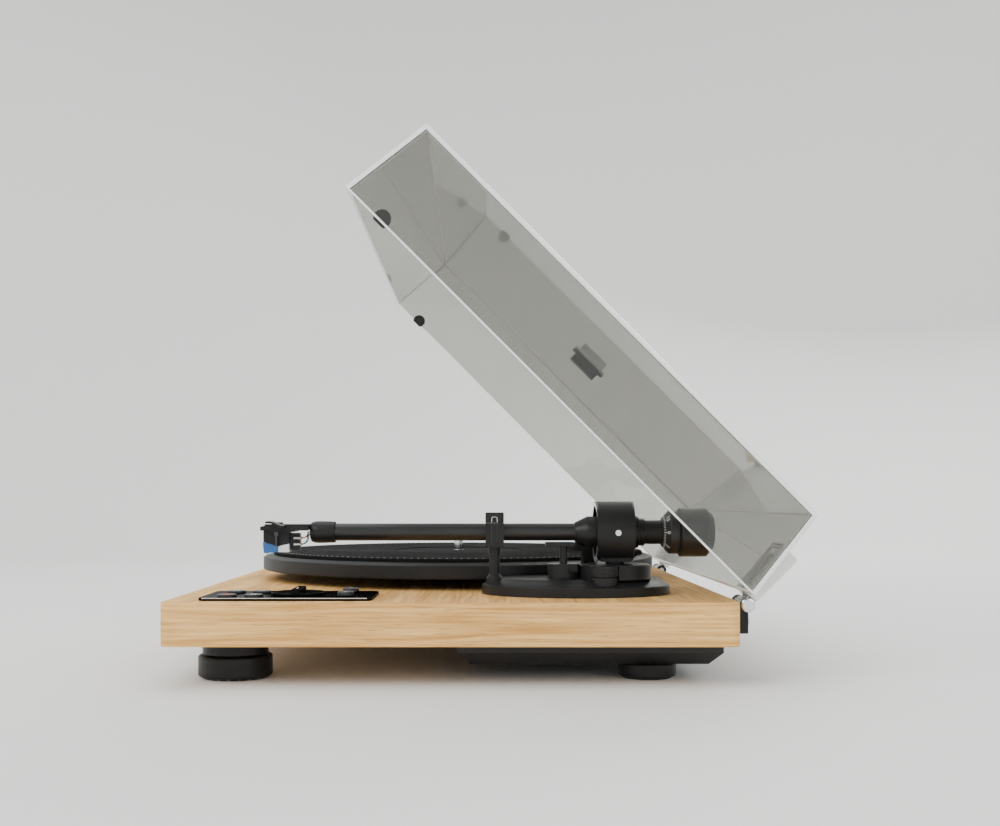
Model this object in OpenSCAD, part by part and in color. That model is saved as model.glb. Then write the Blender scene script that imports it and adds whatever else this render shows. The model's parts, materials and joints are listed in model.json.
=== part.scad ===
// Belt-drive turntable standing on its feet, with the dust cover open and the tonearm parked in its rest.
// X runs to the right as seen from the front, Y to the back and Z up. All sizes are in millimetres.
// The pieces are laid out round the centre of the plinth, and placed() then moves them so that the origin
// lies under the middle of the whole outline, on the shelf.

/* [Plinth] */
// Width of the plinth
plinth_w = 420; // [400:1:450]
// Depth of the plinth
plinth_d = 350; // [340:1:380]
// Thickness of the plinth
plinth_t = 26.5; // [24:0.5:34]
// Radius of the plinth's upright corners
plinth_corner_r = 6; // [3:0.5:12]
// Height of the plinth's underside above the shelf
plinth_clear = 25.2; // [23:0.2:32]

/* [Underside and feet] */
// Distance from the plinth's side to the underside box
box_side_inset = 28; // [22:1:40]
// Distance from the plinth's back to the underside box
box_back_inset = 5; // [4:1:10]
// Depth of the underside box, front to back
box_d = 166; // [160:1:172]
// Height of the underside box
box_h = 15.2; // [14:0.2:17]
// Wall of the underside box
box_wall = 2.5; // [2:0.25:3]
// Size of the chamfer round the box's lower edge
box_chamfer = 8; // [5:0.5:10]
// Distance from the plinth's side to the middle of a foot
foot_side_inset = 50; // [44:1:60]
// Distance from the plinth's front to the middle of a front foot
foot_front_inset = 36; // [30:1:50]
// Distance from the plinth's back to the middle of a rear foot
foot_back_inset = 50; // [42:1:60]
// Radius of a front foot's neck
neck_r = 20.85; // [18:0.25:22]
// Radius of a front foot's puck
puck_r = 23.5; // [22.5:0.5:28]
// Height of a front foot's puck
puck_h = 13.4; // [12:0.2:15]
// Radius of a rear foot
rear_puck_r = 18.5; // [16:0.5:20]
// Thickness of the rubber pads
pad_h = 1.2; // [1:0.1:2]

/* [Platter and drive] */
// Distance of the spindle to the left of the plinth's middle
spindle_left = 35; // [30:1:38]
// Radius of the platter
platter_r = 155; // [152:0.5:156]
// Gap between the plinth and the platter's rim
platter_gap = 7.4; // [7:0.1:10]
// Height of the platter's rim
rim_h = 9.5; // [9:0.25:14]
// Thickness of the platter's rim, seen from above
rim_w = 8; // [6:0.5:10]
// Rise of the sloping shoulder between the rim and the mat
shoulder_h = 1.8; // [1:0.1:3]
// Thickness of the platter's web
web_t = 4; // [3:0.25:5]
// Radius of the mat
mat_r = 147; // [146:0.5:148]
// Thickness of the mat
mat_t = 2.5; // [2:0.25:4]
// Radius of the ring that the belt runs on
drive_r = 92; // [84:1:96]
// Radius of the motor pulley where the belt runs
pulley_r = 7.5; // [6:0.5:9]
// Distance from the spindle to the motor
motor_dist = 127; // [120:1:130]
// Radius of the motor's can
motor_r = 20; // [16:1:22]
// Height of the motor's can
motor_h = 22; // [16:1:23]
// Width of the flat belt
belt_h = 4; // [3:0.5:5]
// Thickness of the belt
belt_t = 1; // [0.8:0.1:1.2]
// Radius of the spindle pin that a record fits over
pin_r = 3.57; // [3.5:0.01:3.6]
// Height of the spindle pin above the mat
pin_h = 10; // [8:0.5:14]
// Radius of the bearing shaft
shaft_r = 5; // [4:0.25:6]

/* [Tonearm] */
// Distance of the arm's pivot to the right of the spindle
pivot_across = 180; // [178:0.5:184]
// Distance of the arm's pivot behind the spindle
pivot_back = 106.2; // [104:0.2:107]
// Distance by which the stylus overhangs the spindle
overhang = 19.5; // [17:0.5:21]
// Height of the arm's axis above the plinth
arm_h = 40.6; // [40.2:0.1:46]
// Radius of the arm tube
tube_r = 5.65; // [5:0.05:6]
// Wall of the arm tube
tube_wall = 1; // [0.6:0.1:1.2]
// Radius of the gimbal ring
ring_r = 20; // [19:0.25:21]
// Wall of the gimbal ring
ring_wall = 3; // [2:0.25:3.5]
// Radius of the counterweight
weight_r = 16.1; // [15:0.1:17]
// Radius of the dial ring on the counterweight
dial_r = 14.3; // [13:0.1:15]
// Radius of the rear stub that carries the counterweight
stub_r = 7.85; // [6.5:0.05:8.2]
// Width of the headshell
shell_w = 20.4; // [19:0.2:22]
// Radius of the locking collar behind the headshell
collar_r = 7.2; // [6.8:0.1:8]
// Width of the cartridge's body
cartridge_w = 8.8; // [8:0.2:9]
// Distance between the cartridge's two mounting screws
mount_pitch = 12.7; // [12.6:0.1:12.8]

/* [Arm base] */
// Length of the oval arm base, front to back
base_len = 124; // [120:1:128]
// Width of the oval arm base
base_wide = 86; // [82:1:90]
// Height of the arm base at its edge
base_edge_h = 5.9; // [5:0.1:7]
// Height of the arm base's flat top
base_top_h = 10.5; // [10:0.1:12]
// Radius of the pivot tower
tower_r = 23.25; // [21:0.25:24]
// Height of the pivot tower's disc
tower_h = 9.2; // [8:0.1:9.4]
// Radius of the anti-skate knob
skate_r = 8.7; // [7:0.1:9.5]
// Distance from the pivot to the lift post
lift_reach = 33.7; // [33:0.1:36]
// Distance that the lift bar travels
lift_travel = 2.5; // [1.5:0.1:3]
// Gap between the arm tube and the raised lift bar
lift_gap = 0.8; // [0.8:0.1:2]
// Distance from the pivot to the arm rest
rest_reach = 78.9; // [76:0.5:80]

/* [Controls] */
// Width of the control panel
panel_w = 54; // [50:1:60]
// Depth of the control panel
panel_d = 105; // [100:1:115]
// Thickness of the control panel
panel_t = 2; // [1.5:0.1:3]
// Distance from the plinth's right side to the panel
panel_side_inset = 13; // [11:1:16]
// Distance from the plinth's front to the panel
panel_front_inset = 21; // [16:1:26]
// Radius of a push button
button_r = 5.9; // [5:0.1:6.4]
// Distance that a button travels
button_travel = 0.8; // [0.5:0.1:0.9]
// Radius of a small knob
knob_r = 5.2; // [4.6:0.1:6.2]
// Radius of the speed selector
selector_r = 17.25; // [15:0.25:18]

/* [Dust cover] */
// Distance from the plinth's side to the closed cover
lid_side_inset = 1; // [0:0.5:3]
// Distance by which the closed cover overhangs the plinth's back
lid_overhang = 3.3; // [3:0.1:5]
// Distance from the plinth's front to the closed cover
lid_front_inset = 4.7; // [1:0.1:8]
// Room between the gimbal ring and the closed cover's top panel
lid_headroom = 1.3; // [1:0.1:20]
// Wall of the cover
lid_wall = 2.8; // [2.5:0.1:3.5]
// Gap between the plinth and the closed cover
lid_gap = 1.5; // [1.2:0.1:2.5]
// Lean of the cover's walls from the upright, in degrees
lid_draft = 5.6; // [3:0.1:6]
// Opening angle of the cover as modelled, in degrees
lid_open = 45; // [0:1:65]

/* [Hinges and sockets] */
// Distance of the hinge axis behind the plinth
hinge_back = 8.36; // [8.2:0.02:10]
// Distance of the hinge axis below the plinth's top
hinge_drop = 3.2; // [3:0.1:4]
// Distance from the plinth's side to the middle of a hinge
hinge_side_inset = 35; // [30:1:50]
// Width of a hinge socket
hinge_w = 30; // [28:1:36]
// Radius of a hinge pin
hinge_pin_r = 2; // [1.5:0.1:2.2]
// Outer radius of a phono socket
phono_r = 4.15; // [4:0.05:4.3]
// Radius of the power socket's hole
power_bore_r = 2.8; // [2.6:0.05:3]

/* [Fits] */
// Gap round a shaft that turns or slides in its hole
run_gap = 0.05; // [0.03:0.01:0.09]
// Gap round a piece that is fixed in its hole
fixed_gap = 0.1; // [0.05:0.05:0.2]
// Gap between moving faces that don't guide each other
air_gap = 0.3; // [0.2:0.05:0.4]

/* [Hidden] */
$fn = 64;
// Every cut runs this far past the faces that it opens
overrun = 1;

// Levels of the plinth and places of the feet
plinth_top = plinth_clear + plinth_t;
foot_x = plinth_w / 2 - foot_side_inset;
foot_front_y = foot_front_inset - plinth_d / 2;
foot_back_y = plinth_d / 2 - foot_back_inset;
foot_groove_h = 0.8;
neck_h = plinth_clear - pad_h - puck_h - foot_groove_h;
neck_spigot_step = 4;
neck_spigot_r = neck_r - neck_spigot_step;
rear_puck_h = plinth_clear - box_h - pad_h;
puck_edge_r = 1.5;
pad_edge_inset = 1.5;
pad_bore_r = 9;

// Underside box
box_w = plinth_w - 2 * box_side_inset;
box_z = plinth_clear - box_h;
box_y = plinth_d / 2 - box_back_inset - box_d / 2;
boss_r = 6;
board_x = -70;
board_w = 130;
board_d = 90;
board_t = 1.6;
board_stand_h = 3;
board_stand_r = 3;
board_hole_inset = 8;
board_stand_x = board_w / 2 - board_hole_inset;
board_stand_y = board_d / 2 - board_hole_inset;

// Screws that hold the feet and the box from below
screw_r = 2;
screw_len = 28;
screw_head_r = 3.8;
screw_head_h = 2.4;
foot_screw_up = 3.8;
foot_screw_z = pad_h + foot_screw_up;
box_screw_z = box_z + screw_head_h + box_wall;
box_screw_edge = 14;

// Small wood screws that hold the bearing, the motor plate and the hinges
wood_r = 1.5;
wood_len = 14;
wood_head_r = 2.9;
wood_head_h = 1.5;

// Spindle, bearing and platter
spindle_x = -spindle_left;
spindle_y = 0;
bearing_flange_r = 22;
bearing_flange_t = 3;
bearing_r = 10;
bearing_depth = 21;
bearing_floor_t = 2.5;
bush_wall = 2;
bush_r = shaft_r + bush_wall;
bearing_screw_ring_r = 17;
rim_bottom = plinth_top + platter_gap;
rim_top = rim_bottom + rim_h;
platter_top = rim_top + shoulder_h;
web_bottom = platter_top - web_t;
mat_top = platter_top + mat_t;
shoulder_w = 5;
rim_edge_r = 1;
hub_r = 14;
centring_r = 12;
centring_h = 3;
sub_plate_t = 2.5;
sub_lip = 3;
drive_wall = 4;
drive_gap = 5.5;
drive_bottom = plinth_top + drive_gap;
drive_top = web_bottom - sub_plate_t;
mat_step_r = 52;
mat_step_h = 0.6;
mat_hole_gap = 0.4;
pin_tip_h = 2.5;
pin_tip_r = 1.2;
pin_step = 0.2;

// Motor, pulley and belt
motor_angle = 135;
motor_x = spindle_x + motor_dist * cos(motor_angle);
motor_y = spindle_y + motor_dist * sin(motor_angle);
motor_air = 3;
motor_plate_r = 29;
motor_plate_t = 1.5;
motor_boss_r = 5;
motor_boss_h = 1;
motor_shaft_r = 1.5;
motor_screw_ring_r = 25.5;
pulley_rim = 1.5;
pulley_flange_r = pulley_r + pulley_rim;
pulley_flange_h = 0.8;
belt_z = drive_bottom + (drive_top - drive_bottom - belt_h) / 2;
belt_side_gap = 0.4;

// Tonearm, measured forwards from its pivot
pivot_x = spindle_x + pivot_across;
pivot_y = spindle_y + pivot_back;
arm_z = plinth_top + arm_h;
arm_reach = sqrt(pivot_across * pivot_across + pivot_back * pivot_back) + overhang;
shell_nose = 2;
shell_front = arm_reach + shell_nose;
shell_len = 31.3;
shell_back = shell_front - shell_len;
shell_top_h = 5.2;
shell_h = 4;
shell_wall = 1.5;
shell_plate_t = 3;
shell_slope = 14;
shell_stem_r = tube_r - tube_wall - fixed_gap;
collar_seam = 0.6;
collar_front = shell_back - collar_seam;
collar_len = 15.7;
collar_lip = 4;
collar_nose_r = 6;
tube_setback = 4.5;
tube_front = collar_front - tube_setback;
tube_back = 9;
finger_len = 11;
finger_reach = 13;
finger_t = 1.4;
finger_tilt = 7;

// Cartridge, from the underside of the headshell's plate down, with its places measured back from the
// stylus tip
cartridge_top = arm_z + shell_top_h - shell_plate_t;
cartridge_nose = 1;
cartridge_front = arm_reach + cartridge_nose;
cartridge_len = 17.1;
cartridge_back = cartridge_front - cartridge_len;
lug_setback = 6;
lug_front = cartridge_front - lug_setback;
lug_len = 15.2;
lug_back = lug_front - lug_len;
lug_w = shell_w - 2 * (shell_wall + fixed_gap);
lug_t = 1.9;
tail_len = 6.5;
tail_back = cartridge_back - tail_len;
tail_w = 6.4;
tail_drop = 0.6;
tail_h = 11;
tail_top = arm_z - tail_drop;
tail_bottom = tail_top - tail_h;
terminal_r = 0.5;
terminal_len = 7.4;
terminal_across = 3.5;
terminal_drops = [3.9, 8];
mount_setback = 7.9;
mount_reach = arm_reach - mount_setback;
mount_screw_r = 0.9;
mount_head_r = 2.1;
mount_head_h = 1.1;
mount_nut_r = 1.6;
mount_nut_h = 2.7;
mount_screw_drop = 8.5;
mount_screw_end = arm_z - mount_screw_drop;

// Stylus: the guard in front, the plug behind it and the diamond's tip below
stylus_w = 9;
guard_nose = 1.4;
guard_front = arm_reach + guard_nose;
guard_len = 10.2;
guard_drop = 13.7;
guard_bottom = arm_z - guard_drop;
guard_h = 7.2;
guard_shares = [[0, 1], [1, 0.6], [1, 0.11], [0.07, 0]];
plug_len = 7;
plug_shares = [[0, 0.6], [1, 0.82], [1, 0.11], [0, 0.11]];
stylus_gap = 0.25;
tip_w = 1.2;
tip_len = 3.1;
tip_h = 1.1;

// Gimbal ring, bearing sleeve and the saddle under the ring
ring_front = 13.1;
ring_back = 11.2;
ring_flat = 16.4;
saddle_w = 20;
saddle_d = 19.6;
saddle_drop = 19;
shaft_down_r = 4;
pivot_screw_r = 1.85;
pivot_tip_r = 1.2;
pivot_tip_len = 2;
pivot_screw_out = 0.4;
pivot_slot_w = 0.6;
pivot_slot_depth = 0.7;
sleeve_r = 11;
sleeve_back = 11.5;
sleeve_front = 11;
bell_r = 10.3;
bell_len = 18.2;
cone_top_r = 6.3;
cone_front = 26.5;
spigot_r = 6;
spigot_len = 7.5;

// Rear stub, counterweight and dial ring, measured back from the pivot
flange_r = 10.5;
flange_end = 14.8;
stub_collar_r = 9;
stub_collar_end = 18.9;
weight_bore_r = 10;
weight_sleeve_front = 32.4;
weight_sleeve_end = 57.6;
dial_front = 30.1;
dial_front_r = 8.9;
dial_cone_end = 34.8;
dial_end = 40.5;
dial_lip_t = 1.9;
weight_front = dial_end + air_gap;
weight_nose_r = 14.1;
weight_shoulder = 42;
weight_taper = 59.1;
weight_heel = 62.4;
weight_heel_r = 12.7;
weight_end = 63.6;
weight_floor = 58;
weight_forward = 5;
stub_end = weight_floor - weight_forward - air_gap;

// Arm base, tower, lift, cue lever, rest and anti-skate knob
base_left = 8;
base_ahead = 25.2;
base_x = pivot_x - base_left;
base_y = pivot_y - base_ahead;
base_top = plinth_top + base_top_h;
base_points = 72;
slope_in_x = 12;
slope_in_y = 8;
base_platter_gap = 3;
tower_top = base_top + tower_h;
neck_top = arm_z - saddle_drop - fixed_gap;
tower_neck_r = 6.4;
tower_edge = 0.8;
stem_r = 11;
nut_r = 17;
nut_h = 5;
skate_right = 22;
skate_ahead = 9.2;
skate_up = 5;
skate_x = pivot_x + skate_right;
skate_y = pivot_y - skate_ahead;
skate_floor = plinth_top + skate_up;
skate_pocket_gap = 0.5;
skate_h = 14.4;
skate_groove_z = 7;
skate_groove_h = 0.5;
skate_groove_in = 0.9;
skate_foot_in = 1.6;
skate_foot_r = skate_r - skate_foot_in;
skate_foot_h = 1.6;
skate_stem_r = 2.5;
skate_stem_len = 3.5;
lift_y = pivot_y - lift_reach;
lift_base_r = 10.4;
lift_base_h = 9.4;
lift_post_r = 2.55;
lift_post_room = 0.4;
lift_post_low = base_top + lift_travel + air_gap + lift_post_room;
lift_pad_ahead = 11.8;
lift_pad_room = 0.7;
lift_pad_front = lift_reach + lift_pad_ahead;
lift_pad_back = cone_front + lift_pad_room;
lift_pad_w = 9;
lift_pad_t = 2.6;
lift_pad_top = arm_z - tube_r - lift_gap;
lift_fin_t = 2.6;
lift_wall_drop = 1.1;
lift_fin_h = 4.6;
lift_fin_start = -5;
lift_fin_sweep = 80;
lift_leg_sweep = 11;
lift_leg_end_sweep = 20;
lift_leg_end_up = 3;
lift_leg_end_z = base_top + lift_travel + lift_leg_end_up;
lift_notch_w = 6;
lift_notch_d = 5;
lift_notch_h = 5;
cue_left = 29;
cue_up = 5.3;
cue_x = pivot_x - cue_left;
cue_z = base_top + cue_up;
cue_shaft_r = 1.5;
cue_shaft_len = 9;
cue_hub_r = 3;
cue_arm_w = 3;
cue_arm_len = 14;
cue_grip_r = 2.3;
cue_grip_tip_r = 1.7;
cue_grip_len = 9;
cue_rest_angle = 29;
rest_y = pivot_y - rest_reach;
rest_foot_up = 4;
rest_foot_z = plinth_top + rest_foot_up;
rest_foot_r = 5.5;
rest_flare_h = 6;
rest_post_r = 3.4;
rest_collar_r = 4.2;
rest_collar_h = 4.6;
cradle_d = 12;
cradle_floor_t = 1.6;
cradle_room = 2.3;
cradle_floor_top = arm_z - tube_r - cradle_room;
cradle_lip_t = 1.3;
cradle_lip_h = 1.7;
cradle_gap = 1.2;
cheek_gap = 0.4;
cradle_front = tube_r + cradle_gap;
cheek_in = tube_r + cheek_gap;
cheek_t = 3.6;
cheek_top = arm_z + tube_r + cheek_gap;
latch_pin_r = 1;
latch_pin_len = 4;
latch_h = 6.8;
latch_back = cradle_d / 2 - cheek_t / 2;

// Control panel, board and controls
panel_x = plinth_w / 2 - panel_side_inset - panel_w / 2;
panel_y = panel_front_inset - plinth_d / 2 + panel_d / 2;
panel_corner_r = 4;
panel_top = plinth_top + panel_t;
pocket_margin = 4;
pocket_depth = 18;
control_board_drop = 12;
control_boss_r = 2.5;
control_boss_inset = 3.5;
row_share = 0.263;
button_shares = [0.14, 0.298];
selector_share = 0.543;
knob_share = 0.843;
button_up = 1.2;
button_skirt = 2.5;
button_stem_r = 2;
switch_w = 6;
switch_h = 3.5;
knob_up = 3;
knob_stem_r = 3;
knob_stem_len = 8;
knob_edge = 0.6;
selector_t = 1.3;
selector_blade_l_share = 0.85;
selector_blade_w = 5.4;
selector_blade_h = 2.6;
channel_w = 10;
channel_h = 7;

// Rear sockets
jack_x = -64;
jack_plate_w = 100;
jack_plate_h = 17;
jack_plate_t = 1.5;
jack_up = 10.5;
jack_z = plinth_clear + jack_up;
jack_room_margin = 6;
jack_room_d = 30;
jack_edge = 3;
phono_places = [-36, -18];
phono_out = 9;
phono_nut_r = 5.8;
phono_nut_h = 2;
phono_in = 12;
phono_in_r = 5;
phono_bore_r = 1.6;
ground_place = 4;
ground_r = 4;
ground_out = 10;
ground_stem_r = 2;
ground_in = 8;
power_place = 30;
power_r = 5;
power_out = 2.5;
power_in = 12;
power_depth = 10;
power_pin_r = 1;
jack_screw_place = 46;

// Dust cover and hinges, laid out closed
lid_w = plinth_w - 2 * lid_side_inset;
lid_back = plinth_d / 2 + lid_overhang;
lid_front = lid_front_inset - plinth_d / 2;
lid_d = lid_back - lid_front;
lid_y = (lid_back + lid_front) / 2;
lid_z = plinth_top + lid_gap;
lid_h = arm_h + ring_r + lid_headroom + lid_wall - lid_gap;
hinge_y = plinth_d / 2 + hinge_back;
hinge_z = plinth_top - hinge_drop;
hinge_x = plinth_w / 2 - hinge_side_inset;
hinge_air = 0.5;
ear_r = lid_gap + hinge_drop - hinge_air;
ear_w = 5;
socket_h = 14;
socket_lap = 0.6;
socket_top = hinge_z - ear_r + socket_lap;
knuckle_in = 0.3;
knuckle_r = ear_r - knuckle_in;
knuckle_w = hinge_w - 2 * ear_w - 2 * air_gap;
tongue_t = 2;
tongue_w = 16;
tongue_len = 36;
tongue_gap = 0.2;
holder_w = 27;
holder_h = 37;
holder_out = 8;
tongue_in = 1.4;
tongue_y = hinge_y - tongue_in;
bumper_r = 5.5;
bumper_t = 2.5;
bumper_up = 2.6;
bumper_place = 29;
lid_pad_flange = [12, 31, 1.5];
lid_pad_block = [8, 24, 6.5];

// Half the distance by which the open cover reaches further back than the plinth
lid_top_in = lid_h * tan(lid_draft);
lid_corner_y = lid_back - lid_top_in - hinge_y;
lid_corner_z = lid_z + lid_h - hinge_z;
lid_reach_back = hinge_y + lid_corner_y * cos(lid_open) + lid_corner_z * sin(lid_open);
frame_y = (max(lid_reach_back, hinge_y + ear_r) - plinth_d / 2) / 2;

// Moves a piece from the plinth's centre to the centre of the whole outline
module placed() {
    translate([0, -frame_y, 0]) children();
}

// Places children at the platter's axis, at a height
module at_spindle(z) {
    translate([spindle_x, spindle_y, z]) children();
}

// Places children at the motor's axis, at a height
module at_motor(z) {
    translate([motor_x, motor_y, z]) children();
}

// Places children at the arm's upright pivot axis, at a height
module at_pivot(z) {
    translate([pivot_x, pivot_y, z]) children();
}

// Turns children so that their Z runs forwards along the parked arm, starting this far before the pivot
module along_arm(forward) {
    translate([pivot_x, pivot_y - forward, arm_z]) rotate([90, 0, 0]) children();
}

// Turns children so that their Z runs backwards behind the pivot, starting this far behind it
module behind_arm(back) {
    translate([pivot_x, pivot_y + back, arm_z]) rotate([-90, 0, 0]) children();
}

// Turns the closed cover and what is on it to the opening angle, about the hinge axis
module opened() {
    translate([0, hinge_y, hinge_z]) rotate([-lid_open, 0, 0]) translate([0, -hinge_y, -hinge_z])
        children();
}

// A slab with round upright corners, centred in X and Y and standing on Z = 0
module rounded_slab(w, d, h, r) {
    union() {
        translate([r - w / 2, -d / 2, 0]) cube([w - 2 * r, d, h]);
        translate([-w / 2, r - d / 2, 0]) cube([w, d - 2 * r, h]);
        for (x = [-1, 1], y = [-1, 1]) {
            translate([x * (w / 2 - r), y * (d / 2 - r), 0]) cylinder(r = r, h = h);
        }
    }
}

// A box whose lower edges are chamfered all round, centred in X and Y and standing on Z = 0
module chamfered_box(w, d, h, c) {
    intersection() {
        translate([0, d / 2, 0]) rotate([90, 0, 0]) linear_extrude(d)
            polygon([[c - w / 2, 0], [w / 2 - c, 0], [w / 2, c], [w / 2, h], [-w / 2, h], [-w / 2, c]]);
        translate([-w / 2, 0, 0]) rotate([90, 0, 90]) linear_extrude(w)
            polygon([[c - d / 2, 0], [d / 2 - c, 0], [d / 2, c], [d / 2, h], [-d / 2, h], [-d / 2, c]]);
    }
}

// A box that narrows upwards by the same lean on all four sides, centred in X and Y and standing on Z = 0
module leaning_box(w, d, h, lean) {
    in = h * tan(lean);
    intersection() {
        translate([0, d / 2, 0]) rotate([90, 0, 0]) linear_extrude(d)
            polygon([[-w / 2, 0], [w / 2, 0], [w / 2 - in, h], [in - w / 2, h]]);
        translate([-w / 2, 0, 0]) rotate([90, 0, 90]) linear_extrude(w)
            polygon([[-d / 2, 0], [d / 2, 0], [d / 2 - in, h], [in - d / 2, h]]);
    }
}

// What a drill takes away: a cylinder from Z = 0 to this height, run past both ends
module drill(r, h) {
    translate([0, 0, -overrun]) cylinder(r = r, h = h + 2 * overrun);
}

// A pan-head screw that points down, with the underside of its head on Z = 0
module screw(r, length, head_r, head_h) {
    cylinder(r = head_r, h = head_h);
    translate([0, 0, -length]) cylinder(r = r, h = length);
}

// Places of the four feet, as [x, y]
foot_places = [for (x = [-foot_x, foot_x], y = [foot_front_y, foot_back_y]) [x, y]];

// Places of the screws that hold the box alone
box_screw_x = box_w / 2 - box_screw_edge;
box_screw_back_y = box_y + box_d / 2 - box_screw_edge;
box_screw_front_y = box_y - box_d / 2 + box_screw_edge;
box_screw_places =
    [for (x = [-box_screw_x, 0, box_screw_x], y = [box_screw_front_y, box_screw_back_y]) [x, y]];

module at_feet(z) {
    for (p = foot_places) translate([p.x, p.y, z]) children();
}

module at_front_feet(z) {
    for (x = [-foot_x, foot_x]) translate([x, foot_front_y, z]) children();
}

module at_rear_feet(z) {
    for (x = [-foot_x, foot_x]) translate([x, foot_back_y, z]) children();
}

module at_box_screws(z) {
    for (p = box_screw_places) translate([p.x, p.y, z]) children();
}

module at_bearing_screws(z) {
    for (a = [30, 150, 270]) at_spindle(z) rotate([0, 0, a])
        translate([bearing_screw_ring_r, 0, 0]) children();
}

module at_motor_screws(z) {
    for (a = [45, 165, 285]) at_motor(z) rotate([0, 0, a]) translate([motor_screw_ring_r, 0, 0]) children();
}

// Screws of a hinge socket, pointing forwards into the plinth's back
module at_hinge_screws(back) {
    for (side = [-1, 1], half = [-1, 1]) {
        translate([side * hinge_x + half * hinge_w / 4, plinth_d / 2 + back, socket_top - socket_h / 2])
            rotate([-90, 0, 0]) children();
    }
}

// Screws of the jack plate, pointing forwards into the plinth's back
module at_jack_screws(back) {
    for (half = [-1, 1]) {
        translate([jack_x + half * jack_screw_place, plinth_d / 2 + back, jack_z])
            rotate([-90, 0, 0]) children();
    }
}

module plinth() {
    hole_h = plinth_t + 2 * overrun;
    low = plinth_clear - overrun;
    pocket_w = panel_w - 2 * pocket_margin;
    pocket_d = panel_d - 2 * pocket_margin;
    pocket_z = plinth_top - pocket_depth;
    room_w = jack_plate_w - 2 * jack_room_margin;
    room_h = jack_plate_h - 2 * jack_edge;
    color("burlywood") placed() difference() {
        translate([0, 0, plinth_clear]) rounded_slab(plinth_w, plinth_d, plinth_t, plinth_corner_r);
        at_spindle(low) cylinder(r = bearing_r + fixed_gap, h = hole_h);
        at_motor(low) cylinder(r = motor_r + motor_air, h = hole_h);
        at_pivot(low) cylinder(r = stem_r + fixed_gap, h = hole_h);
        translate([panel_x - pocket_w / 2, panel_y - pocket_d / 2, pocket_z])
            cube([pocket_w, pocket_d, pocket_depth + overrun]);
        // Wiring channel from the control pocket back to the underside box
        translate([panel_x - channel_w / 2, panel_y, low])
            cube([channel_w, box_y - panel_y, channel_h + overrun]);
        translate([panel_x - channel_w / 2, panel_y, low])
            cube([channel_w, channel_w, hole_h - pocket_depth]);
        // Room behind the jack plate, open to the underside box
        translate([jack_x - room_w / 2, plinth_d / 2 - jack_room_d, low])
            cube([room_w, jack_room_d - box_back_inset - box_wall, jack_z + room_h / 2 - low]);
        translate([jack_x - room_w / 2, plinth_d / 2 - jack_room_d, jack_z - room_h / 2])
            cube([room_w, jack_room_d + overrun, room_h]);
        at_feet(plinth_clear) drill(screw_r + fixed_gap, foot_screw_z + screw_len - plinth_clear);
        at_box_screws(plinth_clear) drill(screw_r + fixed_gap, box_screw_z + screw_len - plinth_clear);
        at_bearing_screws(plinth_top - wood_len) cylinder(r = wood_r + fixed_gap, h = wood_len + overrun);
        at_motor_screws(plinth_top - wood_len) cylinder(r = wood_r + fixed_gap, h = wood_len + overrun);
        at_hinge_screws(-wood_len) cylinder(r = wood_r + fixed_gap, h = wood_len + overrun);
        at_jack_screws(-wood_len) cylinder(r = wood_r + fixed_gap, h = wood_len + overrun);
    }
}

module underside_box() {
    inner_w = box_w - 2 * box_wall;
    inner_d = box_d - 2 * box_wall;
    color("dimgray") placed() difference() {
        union() {
            difference() {
                translate([0, box_y, box_z]) chamfered_box(box_w, box_d, box_h, box_chamfer);
                translate([0, box_y, box_z + box_wall]) chamfered_box(inner_w, inner_d, box_h, box_chamfer);
            }
            at_rear_feet(box_z) cylinder(r = boss_r, h = box_h);
            at_box_screws(box_z) cylinder(r = boss_r, h = box_h);
            for (x = [-1, 1], y = [-1, 1]) {
                translate([board_x + x * board_stand_x, box_y + y * board_stand_y, box_z])
                    cylinder(r = board_stand_r, h = box_wall + board_stand_h);
            }
        }
        at_rear_feet(box_z) drill(screw_r + fixed_gap, box_h);
        at_box_screws(box_z) drill(screw_r + fixed_gap, box_h);
        at_box_screws(box_z - overrun)
            cylinder(r = screw_head_r + fixed_gap, h = box_screw_z - box_z + overrun);
    }
}

module underside_screws() {
    color("silver") placed() {
        at_feet(foot_screw_z) rotate([180, 0, 0]) screw(screw_r, screw_len, screw_head_r, screw_head_h);
        at_box_screws(box_screw_z)
            rotate([180, 0, 0]) screw(screw_r, screw_len, screw_head_r, screw_head_h);
    }
}

module front_foot_necks() {
    color([0.1, 0.1, 0.1]) placed() at_front_feet(0) difference() {
        union() {
            translate([0, 0, plinth_clear - neck_h]) cylinder(r = neck_r, h = neck_h);
            translate([0, 0, pad_h + puck_h]) cylinder(r = neck_spigot_r, h = foot_groove_h);
        }
        cylinder(r = screw_r + fixed_gap, h = plinth_clear + overrun);
    }
}

// A turned foot with rounded rims, a screw hole and a recess for the screw's head
module puck(r, h) {
    difference() {
        rotate_extrude() union() {
            square([r - puck_edge_r, h]);
            translate([0, puck_edge_r]) square([r, h - 2 * puck_edge_r]);
            for (y = [puck_edge_r, h - puck_edge_r])
                translate([r - puck_edge_r, y]) circle(r = puck_edge_r);
        }
        drill(screw_r + fixed_gap, h);
        translate([0, 0, -overrun])
            cylinder(r = screw_head_r + fixed_gap, h = foot_screw_z - pad_h + overrun);
    }
}

module front_foot_pucks() {
    color([0.08, 0.08, 0.08]) placed() at_front_feet(pad_h) puck(puck_r, puck_h);
}

module rear_foot_pucks() {
    color([0.08, 0.08, 0.08]) placed() at_rear_feet(pad_h) puck(rear_puck_r, rear_puck_h);
}

module foot_pad(r) {
    difference() {
        cylinder(r = r - puck_edge_r - pad_edge_inset, h = pad_h);
        drill(pad_bore_r, pad_h);
    }
}

module foot_pads() {
    color([0.15, 0.15, 0.15]) placed() {
        at_front_feet(0) foot_pad(puck_r);
        at_rear_feet(0) foot_pad(rear_puck_r);
    }
}

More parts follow.
